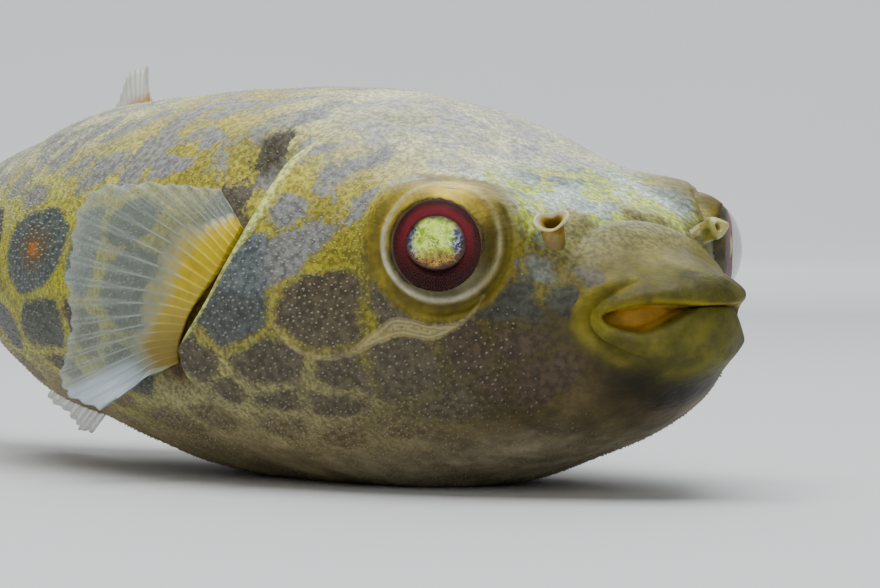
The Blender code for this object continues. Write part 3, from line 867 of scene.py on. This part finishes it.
# %% Spinules as joined cones
SPACING = 0.60
SPINE_CORNERS = 4
# for a spinule of size one: half width and height of each ring, then the tip's height and lean
SPINE_RINGS = ((0.11, -0.06), (0.075, 0.09))
SPINE_TIP = (0.17, 0.10)
# half widths of the two rings on the unwrap, as shares of its side
PATCH_RINGS = (0.0015, 0.0008)


def spinule_places(side):
    """Evenly strewn stations and turns on one side, jittered, with more where skin is wider."""
    rows = np.arange(6.4, 19.6, 0.01)
    flank = skin_shape(rows, np.full(rows.shape, np.pi / 2 * side))
    run = np.concatenate([[0], np.cumsum(np.linalg.norm(np.diff(flank, axis=0), axis=1))])
    picked = np.interp(np.arange(0, run[-1], SPACING), run, rows)
    angles = np.linspace(0, np.pi, 181) * side
    rings = skin_shape(*np.meshgrid(picked, angles, indexing="ij"))
    girth = np.concatenate([np.zeros((len(picked), 1)),
                            np.cumsum(np.linalg.norm(np.diff(rings, axis=1), axis=2), axis=1)], axis=1)
    station = []
    turn = []
    for row, lengths in zip(picked, girth):
        at = np.arange(0.3, lengths[-1], SPACING)
        at = at + rng.uniform(-0.27, 0.27, len(at))
        turn.append(np.interp(at, lengths, angles * side) * side)
        station.append(row + rng.uniform(-0.25, 0.25, len(at)) * np.interp(row, picked, np.gradient(picked)))
    return np.concatenate(station), np.concatenate(turn)


def spinules(name, side):
    """Cones of two rings and a tip, standing along the skin's normal and leaning back."""
    station, turn = spinule_places(side)
    root = skin_shape(station, turn)
    layers, colours = skin_paint(station, turn, root)
    keep = (layers["orbit"] > 6.2) & (root[:, 2] > 0.1) & (np.abs(station - 12.1) > 0.16)
    keep &= ~((station > 12) & (root[:, 0] < 47) & (np.abs(root[:, 2] - 15.0) < 6.5))
    keep &= (station > 7.6) & (rng.uniform(0, 1, len(station)) < ease(8.0, 15.0, root[:, 0]))
    station, turn, root = station[keep], turn[keep], root[keep]
    layers = {key: value[keep] for key, value in layers.items()}
    colours = {key: value[keep] for key, value in colours.items()}
    back = skin_shape(station + 0.02, turn) - root
    up = skin_shape(station, turn + 0.01) - root
    normal = unit(np.cross(unit(up), unit(back)))
    normal *= np.sign(np.sum(normal * outward(root), axis=1, keepdims=True))
    along = unit(back)
    across = np.cross(normal, along)
    count = len(root)
    size = rng.uniform(0.5, 1.2, count) * (0.6 + 0.4 * ease(-0.9, -0.5, -np.cos(turn)))
    size = size * (1 - 0.45 * ease(0.25, 0.9, -np.cos(turn)))
    corners = SPINE_CORNERS
    ring_angle = np.arange(corners) * 2 * np.pi / corners
    parts = []
    for wide, high in SPINE_RINGS:
        around = along[:, None, :] * np.cos(ring_angle)[None, :, None]
        around = around + across[:, None, :] * np.sin(ring_angle)[None, :, None]
        middle = root + normal * (high * size)[:, None] + along * (max(high, 0) * 0.5 * size)[:, None]
        parts.append(middle[:, None, :] + around * (wide * size)[:, None, None])
    tip = root + normal * (SPINE_TIP[0] * size)[:, None] + along * (SPINE_TIP[1] * size)[:, None]
    points = np.concatenate(parts + [tip[:, None, :]], axis=1)
    each = points.shape[1]
    j = np.arange(corners)
    k = (j + 1) % corners
    quads = np.stack([j, k, corners + k, corners + j], axis=1)
    tris = np.stack([corners + j, corners + k, np.full(corners, 2 * corners)], axis=1)
    pattern = np.concatenate([quads.ravel(), tris.ravel()])
    faces = (np.arange(count)[:, None] * each + pattern[None, :]).ravel()
    sizes = np.tile(np.concatenate([np.full(corners, 4), np.full(corners, 3)]), count)
    # each spinule has a tiny patch of its own at its root's place on an unwrap of the skin
    height = (station - stations[0]) / (stations[-1] - stations[0])
    home = np.stack([(turn / (2 * np.pi)) % 1.0, height], axis=1)
    circle = np.stack([np.cos(ring_angle), np.sin(ring_angle)], axis=1)
    spread = np.concatenate([circle * reach for reach in PATCH_RINGS] + [np.zeros((1, 2))])
    uv = (home[:, None, :] + spread[None])[:, pattern].reshape(-1, 2)
    lift = np.tile(np.concatenate([np.zeros(corners), np.full(corners, 0.7), [1.0]]), count)
    wide_layers = {key: np.repeat(value, each) for key, value in layers.items()}
    wide_layers["lift"] = lift
    wide_colours = {key: np.repeat(value, each, axis=0) for key, value in colours.items()}
    print(name, count, "spinules,", count * 3 * corners, "triangles")
    return make_mesh(name, to_scene(points.reshape(-1, 3)), faces, sizes, uv, wide_layers, wide_colours)


def spinule_material():
    """The skin's own colour at the root, and a pale horny tip that shows most on dark cells."""
    m = Shader("spinule")
    inside = m.span(m.layer("cells"), -0.3, 0.3)
    under = m.mix(inside, m.layer("ground", "Color"), m.layer("tone", "Color"))
    tip = m.mix(inside, m.mix(0.16, m.layer("ground", "Color"), paint(226, 216, 150)),
                m.mix(0.38, m.layer("tone", "Color"), paint(200, 196, 178)))
    m.set("Base Color", m.mix(m.layer("lift"), under, tip))
    m.set("Roughness", 0.4)
    return m.material


spinule_skin = spinule_material()
for side, word in ((1, "right"), (-1, "left")):
    coat = spinules("spinules_" + word, side)
    coat.data.materials.append(spinule_skin)
    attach(coat, "root")

# %% [markdown]
# ## Eyes
# A puffer's eye is a large ball under a clear, strongly domed cornea. The iris is a maroon
# disc with a round pupil, and the lens behind the pupil throws back yellow-green light. The
# four parts are surfaces of revolution around the line of gaze, one inside another.

# %% Eye surfaces
GAZE_TURN = {1: np.radians(58), -1: np.radians(43)}
IRIS_RADIUS = {1: 3.38, -1: 2.95}
IRIS_DEPTH = {1: 2.62, -1: 3.02}
PUPIL_RADIUS = {1: 2.45, -1: 2.10}
LENS_SPREAD = {1: 0.50, -1: 0.43}
LENS_RISE = {1: 0.70, -1: 0.22}
LENS_CURVE = 5.2


def turned(name, side, radii, heights, steps, squash=1.0, lifted=0.0):
    """A profile of radii and heights turned around the line of gaze through the eye's middle."""
    axis = np.array([-np.cos(GAZE_TURN[side]), np.sin(GAZE_TURN[side]) * side, 0.0])
    across = unit(np.cross(axis, [0, 0, 1.0]))
    up = np.cross(across, axis)
    angle = np.linspace(0, 2 * np.pi, steps, endpoint=False)
    radii = np.asarray(radii, dtype=float)[:, None]
    heights = np.asarray(heights, dtype=float)[:, None]
    x = radii * np.cos(angle)
    y = radii * np.sin(angle) * squash
    points = EYE_MIDDLE[side] + up * lifted + x[..., None] * across + y[..., None] * up
    points = points + heights[..., None] * axis
    ones = np.ones_like(x)
    layers = {"out": radii * ones, "rise": y / squash, "back": x * side}
    return tube_mesh(name, to_scene(points), layers)


def arc(radius, start, stop, count):
    """Radii and heights of a circle's arc, its angles counted from the axis."""
    angle = np.linspace(start, stop, count)
    return radius * np.sin(angle), radius * np.cos(angle)


def eye_parts(side, word):
    """Ball, iris, pupil and cornea of one eye, each a profile from its rim to the axis."""
    iris_radius = IRIS_RADIUS[side]
    back_r, back_h = arc(EYE_RADIUS - 0.12, np.pi - 0.03, np.pi / 2, 16)
    front_r = (EYE_RADIUS - 0.13) * np.sin(np.linspace(np.pi / 2, 0.02, 44))
    front_h = eye_height(front_r, -0.05)
    front_h = front_h - ease(iris_radius + 0.06, iris_radius - 0.12, front_r) * (front_h - 2.0)
    ball = turned("eye_ball_" + word, side, np.append(back_r, front_r), np.append(back_h, front_h), 64)
    r = np.concatenate([np.linspace(iris_radius + 0.05, 1.4, 20), [1.3], [0.05]])
    h = IRIS_DEPTH[side] - 0.10 + 0.30 * np.sin(np.clip((iris_radius - r) / 1.1, 0, 1) * np.pi * 0.5)
    h = h - 0.45 * ease(PUPIL_RADIUS[side], PUPIL_RADIUS[side] - 0.5, r)
    iris = turned("iris_" + word, side, r, h, 96)
    lens_r, lens_h = arc(LENS_CURVE, LENS_SPREAD[side], 0.004, 20)
    lens_h = lens_h - LENS_CURVE + IRIS_DEPTH[side] + LENS_RISE[side]
    pupil = turned("pupil_" + word, side, lens_r, lens_h, 72, squash=0.84, lifted=0.24)
    cap_r = (EYE_RADIUS - 0.02) * np.sin(np.linspace(1.45, 0.01, 40))
    cornea = turned("cornea_" + word, side, cap_r, eye_height(cap_r), 96)
    return ball, iris, pupil, cornea


print("iris radius in mm, right and left:", *IRIS_RADIUS.values())

# %% [markdown]
# ## Finishes of the eyes
# The flesh of the ball and the iris are soft and dull, the lens is a web of bright threads,
# and the cornea is glossy and almost clear. Each layer is painted from the distance to the
# line of gaze, so nothing flat has to be wrapped around a ball.

# %% Finishes of the eyes


def ball_material(iris_radius):
    """Smooth dark olive flesh around the iris, with a thin amber line where the two meet."""
    m = Shader("eye_flesh")
    colour = m.mix(m.span(m.noise(700, 4), 0.35, 0.65), paint(44, 36, 16), paint(86, 76, 32))
    thin = m.span(m.plus(m.layer("out"), m.times(m.noise(1500, 3), 0.16)),
                  iris_radius + 0.24, iris_radius + 0.12)
    m.set("Base Color", m.mix(thin, colour, paint(118, 62, 30)))
    m.set("Roughness", 0.38)
    m.set("Specular IOR Level", 0.3)
    return m.material


def iris_material(iris_radius, upper, lower):
    """Maroon, near black at its outer edge, wine red towards the pupil, with radial fibres."""
    m = Shader("iris_maroon")
    streak = m.noise(1500, 4, 0.7)
    out = m.plus(m.layer("out"), m.times(m.minus(streak, 0.5), 0.5))
    red = m.mix(m.span(m.layer("rise"), -3.0, 2.4), lower, upper)
    colour = m.mix(m.span(out, iris_radius - 0.63, iris_radius - 0.08), red, lower * 1.6)
    m.set("Base Color", m.mix(m.times(streak, 0.4), colour, paint(58, 12, 8)))
    m.set("Roughness", 0.5)
    m.set("Specular IOR Level", 0.12)
    return m.material


def pupil_material():
    """A crackled yellow-green shine, bluish white at the sides and amber below."""
    m = Shader("pupil_shine")
    bent = m.times(m.minus(m.noise(700, 4, 0.65), 0.5), 1.9)
    threads = m.size_of(m.minus(m.noise(1500, 5, 0.75), 0.5))
    fine = m.times(m.span(threads, 0.05, 0.0), m.span(m.noise(900, 2), 0.35, 0.6, 0.25, 1.0))
    leaf = m.mix(m.span(m.noise(1300, 3), 0.35, 0.65), paint(100, 140, 22), paint(184, 212, 52))
    green = m.mix(fine, leaf, paint(226, 240, 130))
    blue = m.mix(fine, paint(34, 46, 66), paint(196, 214, 236))
    amber = m.mix(fine, paint(96, 58, 10), paint(206, 172, 60))
    beside = m.plus(m.size_of(m.layer("back")), bent)
    colour = m.mix(m.span(beside, 1.2, 1.9), green, blue)
    colour = m.mix(m.span(m.plus(m.layer("rise"), bent), -0.1, -1.5), colour, amber)
    colour = m.mix(m.span(m.plus(m.layer("out"), m.times(bent, 0.45)), 1.8, 2.36), colour,
                   paint(50, 12, 10))
    m.set("Base Color", colour)
    m.set("Roughness", 0.35)
    # the pupil's colours are a painted reflection of the lens, and the emission adds a faint painted glow
    m.set("Emission Color", colour)
    m.set("Emission Strength", 0.32)
    return m.material


def cornea_material(middle, rim):
    """Clear and glossy, with a thin pale haze that is partly a painted reflection: one strength over the
    iris, another at the rim.
    """
    m = Shader("cornea_clear")
    m.set("Base Color", (*paint(150, 158, 150), 1.0))
    m.set("Roughness", 0.05)
    m.set("Specular IOR Level", 0.3)
    m.set("Alpha", m.span(m.layer("out"), 2.9, 3.5, middle, rim))
    return m.material


for side, word in ((1, "right"), (-1, "left")):
    wine = (paint(122, 36, 46), paint(36, 4, 0)) if side > 0 else (paint(172, 84, 110), paint(120, 50, 70))
    # the left eye, seen at a slant, gets a much paler layer over its middle: a painted reflection on its
    # cornea
    veil_and_reflection = (0.02, 0.05) if side > 0 else (0.34, 0.05)
    finishes = (ball_material(IRIS_RADIUS[side]), iris_material(IRIS_RADIUS[side], *wine), pupil_material(),
                cornea_material(*veil_and_reflection))
    for part, finish in zip(eye_parts(side, word), finishes):
        part.data.materials.append(finish)
        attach(part, "root")
        if part.name.startswith("eye_ball"):
            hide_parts("eye_" + word)
print("eyes: ball, iris, pupil and cornea on each side")

# %% [markdown]
# ## Nostril tubes
# Between eye and mouth stands a soft tube on each side, which opens into two curled lobes.
# It is a ring carried along a short bent path, flattened and split towards its mouth.

# %% Nostril surfaces
NOSTRIL_FOOT = {1: np.array([11.35, 7.8, 19.05]), -1: np.array([11.6, -5.5, 18.8])}
NOSTRIL_RISE = {1: np.array([-1.05, 1.0, 2.2]), -1: np.array([-2.3, -2.0, 1.6])}
NOSTRIL_BEND = {1: np.array([0.16, -0.22, 0.16]), -1: np.array([0.16, -0.83, 0.35])}
NOSTRIL_SIZE = {1: 0.96, -1: 0.60}
# how far the lip of the opening is drawn out, and which way
NOSTRIL_FLAP = {1: np.array([0.12, 0.16, -0.30]), -1: np.array([-0.65, -0.90, 0.32])}
# how far along the tube, and how wide: up the outside, over the lip, down the inside. The
# right one opens like a collar, the left one closes to a small ring.
NOSTRIL_PROFILE = {
    1: np.array([[-0.14, 1.04], [0.00, 1.04], [0.25, 0.98], [0.50, 0.90], [0.70, 0.90], [0.86, 1.00],
                 [0.94, 1.12], [0.99, 1.20], [1.02, 1.12], [1.00, 0.96], [0.92, 0.78], [0.78, 0.62],
                 [0.50, 0.52], [0.30, 0.44]]),
    -1: np.array([[-0.60, 1.25], [0.00, 1.28], [0.25, 1.30], [0.50, 1.34], [0.70, 1.36], [0.86, 1.32],
                  [0.95, 1.12], [1.00, 0.82], [1.03, 0.64], [1.01, 0.50], [0.95, 0.42], [0.85, 0.38],
                  [0.60, 0.34], [0.30, 0.30]]),
}


def nostril(name, side):
    """Rings along a bent path (foot + rise times run + bend times the sine of half a turn of
    the run), as wide as the profile says, wider to two sides where the lip is split in two."""
    rows = smooth_row(NOSTRIL_PROFILE[side], np.linspace(0, 1, 44))
    inside = ease(1.0, 1.3, np.linspace(0, 13, 44) - 7.2)
    run = rows[:, 0]
    width = rows[:, 1] * NOSTRIL_SIZE[side]
    angle = np.linspace(0, 2 * np.pi, 48, endpoint=False)
    path = (NOSTRIL_FOOT[side] + NOSTRIL_RISE[side] * run[:, None]
            + NOSTRIL_BEND[side] * np.sin(run * np.pi)[:, None])
    axis = unit(NOSTRIL_RISE[side] + NOSTRIL_BEND[side] * np.pi * np.cos(run * np.pi)[:, None])
    across = unit(np.cross(axis, np.array([0.75, -0.66, 0.0])))
    over = np.cross(axis, across)
    flare = ease(0.55, 1.0, run)[:, None]
    lobes = 1 + 0.16 * flare * np.cos(2 * angle)[None, :]
    ring = across[:, None, :] * np.cos(angle)[None, :, None]
    ring = ring + over[:, None, :] * 0.8 * np.sin(angle)[None, :, None]
    notch = (0.60 if side > 0 else 0.0) * flare ** 2 * (np.abs(np.sin(angle)) ** 3)[None, :]
    points = path[:, None, :] + ring * (width[:, None] * lobes)[..., None]
    points = points - axis[:, None, :] * notch[..., None]
    drawn = flare * (1 - (inside[:, None] if side < 0 else 0.0))
    toward = np.clip(ring @ unit(NOSTRIL_FLAP[side]), 0, 1) ** 2 * drawn
    points = points + NOSTRIL_FLAP[side] * toward[..., None]
    ones = np.ones((len(run), len(angle)))
    layers = {"along": run[:, None] * ones, "inside": inside[:, None] * ones}
    return tube_mesh(name, to_scene(points), layers)


print("nostril tubes rise", *(round(float(np.linalg.norm(v)), 1) for v in NOSTRIL_RISE.values()), "mm")

# %% [markdown]
# ## Finish of the nostrils
# The tubes are soft, glossy flesh, browner at the foot and paler at the lip. The paint follows
# the length of the tube, and the inside is darker, as little light gets in.

# %% Finish of the nostrils


def nostril_material(deep, light, lip):
    """Mottled flesh with a paler lip and a dark opening."""
    m = Shader("nostril_flesh")
    colour = m.mix(m.span(m.noise(1100, 4), 0.35, 0.65), deep, light)
    colour = m.mix(m.span(m.layer("along"), 0.55, 0.05), colour, deep * 0.8)
    colour = m.mix(m.span(m.layer("along"), 0.84, 0.98), colour, lip)
    colour = m.mix(m.times(m.layer("inside"), m.span(m.layer("along"), 0.95, 0.6)), colour,
                   deep * 0.85)
    m.set("Base Color", colour)
    m.set("Roughness", 0.32)
    m.set("Coat Weight", 0.3)
    m.bump((m.noise(3000, 2), 0.00008, 0.4))
    return m.material


NOSTRIL_PAINTS = {1: (paint(130, 104, 22), paint(184, 156, 60), paint(206, 196, 146)),
                  -1: (paint(104, 100, 36), paint(160, 152, 74), paint(184, 174, 106))}
for side, word in ((1, "right"), (-1, "left")):
    tube = nostril("nostril_tube_" + word, side)
    tube.data.materials.append(nostril_material(*NOSTRIL_PAINTS[side]))
    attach(tube, "root")
    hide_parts("nostril_" + word)

# %% [markdown]
# ## Fins
# A fin is a fan of bony rays in a thin, half clear membrane. Each ray runs from a root to a
# tip, and splits in two on its way. The fin is one closed shell: the same sheet is laid down
# twice, pushed apart by half its thickness, thick at the root and on the rays, thin between.

# %% Fin shells
PECTORAL_ROOTS = np.array([[38.0, 16.1, 20.2], [38.3, 16.9, 18.6], [39.2, 17.3, 17.0], [40.9, 17.7, 15.2],
                           [42.6, 17.9, 13.6], [44.2, 17.7, 11.9], [45.4, 17.3, 10.2]])
PECTORAL_TIPS = np.array([[40.5, 16.7, 23.6], [44.6, 19.4, 24.1], [49.2, 22.6, 23.2], [50.8, 23.7, 17.9],
                          [51.0, 23.8, 12.2], [51.8, 24.1, 7.8], [48.6, 21.9, 5.6]])
DORSAL_ROOTS = np.array([[70.5, 0, 28.5], [73.5, 0, 28.2], [76.5, 0, 27.6], [79.5, 0, 26.8]])
DORSAL_TIPS = np.array([[79.2, -4.9, 34.3], [81.2, -5.5, 33.7], [83.4, -5.0, 31.6], [85.5, -3.2, 28.6]])
ANAL_ROOTS = np.array([[75.0, 0, 6.6], [77.5, 0, 7.0], [80.0, 0, 7.6], [82.5, 0, 8.6]])
ANAL_TIPS = np.array([[83.0, -1.6, 1.8], [87.0, -2.0, 2.2], [90.0, -1.8, 4.0], [90.5, -1.2, 6.2]])
TAIL_ROOTS = np.array([[108.6, 0, 24.1], [109.4, 0, 21.2], [109.6, 0, 18.1], [109.4, 0, 15.0],
                       [108.6, 0, 12.1]])
TAIL_TIPS = np.array([[128.5, 0, 29.4], [132.2, 0, 24.4], [133.4, 0, 18.0], [132.2, 0, 11.6],
                      [128.5, 0, 6.6]])


def fin(name, roots, tips, rays, root_thick, ripple=0.10, cup=0.0, fold=0.0, per_ray=9, across=56):
    """Sheet: root + (tip - root) times v, cupped and rippled; ridges follow the split rays."""
    columns = (rays - 1) * per_ray + 1
    u = np.linspace(0, 1, columns)
    v = np.linspace(0, 1, across)
    count = u * (rays - 1)
    nearest = np.round(count)
    lengths = 1 + 0.025 * rng.uniform(-1, 1, rays)[nearest.astype(int)]
    scallop = 1 - 0.03 * np.abs(count - nearest) * 2
    start = smooth_row(roots, u)[:, None, :]
    end = smooth_row(tips, u)[:, None, :]
    reach = (v[None, :] * (lengths * scallop)[:, None] ** ease(0.5, 1, v)[None, :])[..., None]
    sheet = start + (end - start) * reach
    over = unit(np.cross(np.gradient(sheet, axis=0), np.gradient(sheet, axis=1)))
    wave = ripple * np.sin(count * 2 * np.pi)[:, None] * v[None, :] ** 1.5
    slow = 4.5 * ripple * np.sin(u * 9.0 + 0.6)[:, None] * v[None, :] ** 2
    sheet = sheet + over * (wave + slow + cup * 4 * (v * (1 - 0.55 * v))[None, :])[..., None]
    sheet = sheet + over * (fold * ease(0.72, 1.0, u)[:, None] * ease(0.2, 1.0, v)[None, :])[..., None]
    split = 0.17 * ease(0.40, 1.0, v)[None, :]
    off = (count - nearest)[:, None]
    ray = np.maximum(bell(off - split, 0.085), bell(off + split, 0.085))
    ray = ray * (1 - 0.5 * ease(0.6, 1.0, v))[None, :]
    fleshy = bell(v / 0.27, 1.0)[None, :] ** 1.5
    half = 0.04 + 0.06 * ray * (1 - 0.5 * v)[None, :] + root_thick * fleshy
    half = half * (1 - 0.55 * ease(0.92, 1.0, v))[None, :]
    front = sheet + over * half[..., None]
    behind = sheet - over * half[..., None]
    ring = np.concatenate([front, behind[:, ::-1]], axis=1)
    both = {"ray": ray, "along": v[None, :] * np.ones_like(ray), "order": u[:, None] * np.ones_like(ray)}
    layers = {key: np.concatenate([value, value[:, ::-1]], axis=1) for key, value in both.items()}
    made = tube_mesh(name, to_scene(ring), layers)
    print(name, rays, "rays,", columns, "x", across)
    return made


print("pectoral fan from", len(PECTORAL_ROOTS), "roots to as many tips")

# %% [markdown]
# ## Finish of the fins
# A fin is a thin skin that lets light through, stiffened by pale rays and fleshy at its root.
# Alpha makes the sheet half clear, and more solid over the rays, the root and the rim.

# %% Finish of the fins


def fin_material(name, root, streak, membrane, bright, clear, reach=0.42, lobe=None):
    """Coloured flesh at the root, pale rays, and a membrane that lets light through."""
    m = Shader(name)
    ray = m.layer("ray")
    along = m.layer("along")
    sheet = m.mix(m.noise(380, 3), membrane * 0.7, membrane * 1.25)
    colour = m.mix(m.times(ray, 0.5), sheet, bright)
    colour = m.mix(m.span(along, 0.90, 0.99, 0.0, 0.35), colour, bright)
    flesh = m.mix(m.times(m.plus(ray, m.noise(900, 3)), 0.6), streak, root)
    edge = m.plus(along, m.times(m.minus(m.noise(500, 3), 0.5), 0.3))
    edge = m.plus(edge, m.times(ray, 0.08))
    if lobe is not None:
        low = m.times(m.span(m.layer("order"), 0.45, 0.9), 0.85)
        flesh = m.mix(low, flesh, streak * 0.55)
    colour = m.mix(m.span(edge, reach + 0.06, reach - 0.22), colour, flesh)
    see = m.plus(m.times(ray, 0.28), clear)
    see = m.plus(see, m.span(along, 0.90, 0.99, 0.0, 0.10))
    if lobe is not None:
        turned_under = m.span(m.layer("order"), 0.82, 0.9)
        colour = m.mix(m.times(turned_under, m.span(along, 0.3, 0.5)), colour, lobe)
        see = m.plus(see, m.times(turned_under, 0.4))
    m.set("Base Color", colour)
    m.set("Roughness", 0.4)
    m.set("Coat Weight", 0.2)
    m.set("Alpha", m.math("MINIMUM", m.math("MAXIMUM", see, m.span(edge, reach + 0.12, reach - 0.12)), 1.0))
    m.bump((m.noise(2600, 2), 0.00005, 0.4))
    return m.material


# root, streak between the root's rays, membrane, rays
PECTORAL_PAINTS = (paint(236, 212, 20), paint(150, 124, 14), paint(146, 156, 142), paint(208, 218, 206))
PLAIN_PAINTS = (paint(190, 150, 66), paint(150, 112, 44), paint(176, 172, 148), paint(222, 218, 198))
DORSAL_PAINTS = (paint(196, 152, 80), paint(160, 116, 58), paint(190, 190, 170), paint(226, 226, 214))
pectoral_finish = fin_material("pectoral_membrane", *PECTORAL_PAINTS, 0.27, 0.40, paint(176, 190, 198))
plain_finish = fin_material("fin_membrane", *PLAIN_PAINTS, 0.40, 0.40)
dorsal_finish = fin_material("dorsal_membrane", *DORSAL_PAINTS, 0.45, 0.60)

# %% [markdown]
# ## The fins in place
# The pectoral fans stand out behind the gill covers, and their last rays fold under. The
# back, anal and tail fins are single fans on the middle line.

# %% Build the fins
for side, word in ((1, "right"), (-1, "left")):
    mirror = np.array([1, side, 1])
    fan = fin("pectoral_fan_" + word, PECTORAL_ROOTS * mirror, PECTORAL_TIPS * mirror, 21, 0.9, cup=0.3,
              fold=-1.6 * side, per_ray=7)
    fan.data.materials.append(pectoral_finish)
    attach(fan, "root")
    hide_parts("pectoral_fin_" + word)
for name, roots, tips, rays, thick in (("dorsal", DORSAL_ROOTS, DORSAL_TIPS, 13, 0.5),
                                       ("anal", ANAL_ROOTS, ANAL_TIPS, 10, 0.45),
                                       ("tail", TAIL_ROOTS, TAIL_TIPS, 11, 0.5)):
    fan = fin(name + "_fan", roots, tips, rays, thick, cup=-0.1)
    fan.data.materials.append(dorsal_finish if name == "dorsal" else plain_finish)
    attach(fan, "root")
    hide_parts(name + "_fin")

# %% [markdown]
# ## Floor
# The floor is a pale, wide dish whose rim curves up, so no horizon line shows behind the
# fish. A flat plane and a wall would do as well, but their corner would need hiding.

# %% Floor
FLOOR_FLAT = 1.1
FLOOR_RIM = 0.9
FLOOR_SIDES = 96


def studio_floor():
    """A flat disc turned up at its rim: radius and height as a quarter circle, revolved."""
    bend = np.linspace(0, np.pi / 2, 16)
    flat = np.linspace(0.001, FLOOR_FLAT, 12)
    radius = np.concatenate([flat, FLOOR_FLAT + FLOOR_RIM * np.sin(bend[1:])])[:, None]
    height = np.concatenate([np.zeros(len(flat)), FLOOR_RIM * (1 - np.cos(bend[1:]))])[:, None]
    angle = np.linspace(0, 2 * np.pi, FLOOR_SIDES, endpoint=False)
    points = np.stack([radius * np.cos(angle), radius * np.sin(angle),
                       height * np.ones(FLOOR_SIDES)], axis=-1)
    i, j = grid_corners(len(radius), FLOOR_SIDES, True)
    quads = (i * FLOOR_SIDES + j % FLOOR_SIDES)[:, ::-1]
    # one face of many corners closes the small ring in the middle
    faces = np.concatenate([quads.ravel(), np.arange(FLOOR_SIDES)])
    sizes = np.append(np.full(len(quads), 4), FLOOR_SIDES)
    floor = make_mesh("studio_floor", points.reshape(-1, 3), faces, sizes)
    m = Shader("pale_floor")
    m.set("Base Color", m.mix(m.noise(6, 2), (0.62, 0.63, 0.64), (0.66, 0.67, 0.68)))
    m.set("Roughness", 0.75)
    floor.data.materials.append(m.material)
    return floor


studio_floor()
print("floor", 2 * (FLOOR_FLAT + FLOOR_RIM), "m across")

# %% [markdown]
# ## Lights and camera
# Large square panels give soft light like a cloudy window. A long lens from close to the floor
# keeps the head and the tail in true proportion.

# %% Lights and camera


def soft_panel(name, place, aim, size, power, colour=(1, 1, 1)):
    """A square panel light at a place, turned to face the aim."""
    light = bpy.data.lights.new(name, "AREA")
    light.shape = "SQUARE"
    light.size = size
    light.energy = power
    light.color = colour
    panel = bpy.data.objects.new(name, light)
    panel.location = place
    panel.rotation_euler = look(place, aim)
    bpy.context.scene.collection.objects.link(panel)


def look(place, aim):
    """The turn that points something's -Z axis from a place to an aim."""
    return (Vector(aim) - Vector(place)).to_track_quat("-Z", "Y").to_euler()


CAMERA_AIM = to_scene([25.65, 6.5, 15.2])
CAMERA_TURN = np.radians(40.97)
CAMERA_RISE = np.radians(1.34)
CAMERA_FAR = 0.351
CAMERA_LENS = 185.5
level_share = np.cos(CAMERA_RISE)
toward = np.array([np.cos(CAMERA_TURN) * level_share, -np.sin(CAMERA_TURN) * level_share,
                   np.sin(CAMERA_RISE)])
camera_data = bpy.data.cameras.new("camera")
camera_data.lens = CAMERA_LENS
camera_data.sensor_width = 36.0
camera = bpy.data.objects.new("camera", camera_data)
camera.location = CAMERA_AIM + toward * CAMERA_FAR
camera.rotation_euler = look(camera.location, CAMERA_AIM)
bpy.context.scene.collection.objects.link(camera)
bpy.context.scene.camera = camera

fish_middle = (0.02, 0.0, 0.015)
soft_panel("overhead", (0.05, -0.05, 0.55), fish_middle, 0.5, 4.6)
soft_panel("front_right", (0.45, -0.40, 0.30), fish_middle, 0.35, 0.9, (1.0, 0.98, 0.95))
soft_panel("back_left", (-0.35, 0.35, 0.40), fish_middle, 0.4, 1.4, (0.95, 0.98, 1.0))
soft_panel("backdrop", (-0.55, 0.45, 0.75), (-1.6, 1.35, 0.25), 0.8, 14.0)
world = bpy.data.worlds.new("studio")
bpy.context.scene.world = world
world.use_nodes = True
world.node_tree.nodes["Background"].inputs["Color"].default_value = (0.86, 0.9, 0.94, 1.0)
world.node_tree.nodes["Background"].inputs["Strength"].default_value = 0.25
print("camera at", [round(v, 3) for v in camera.location])

# %% [markdown]
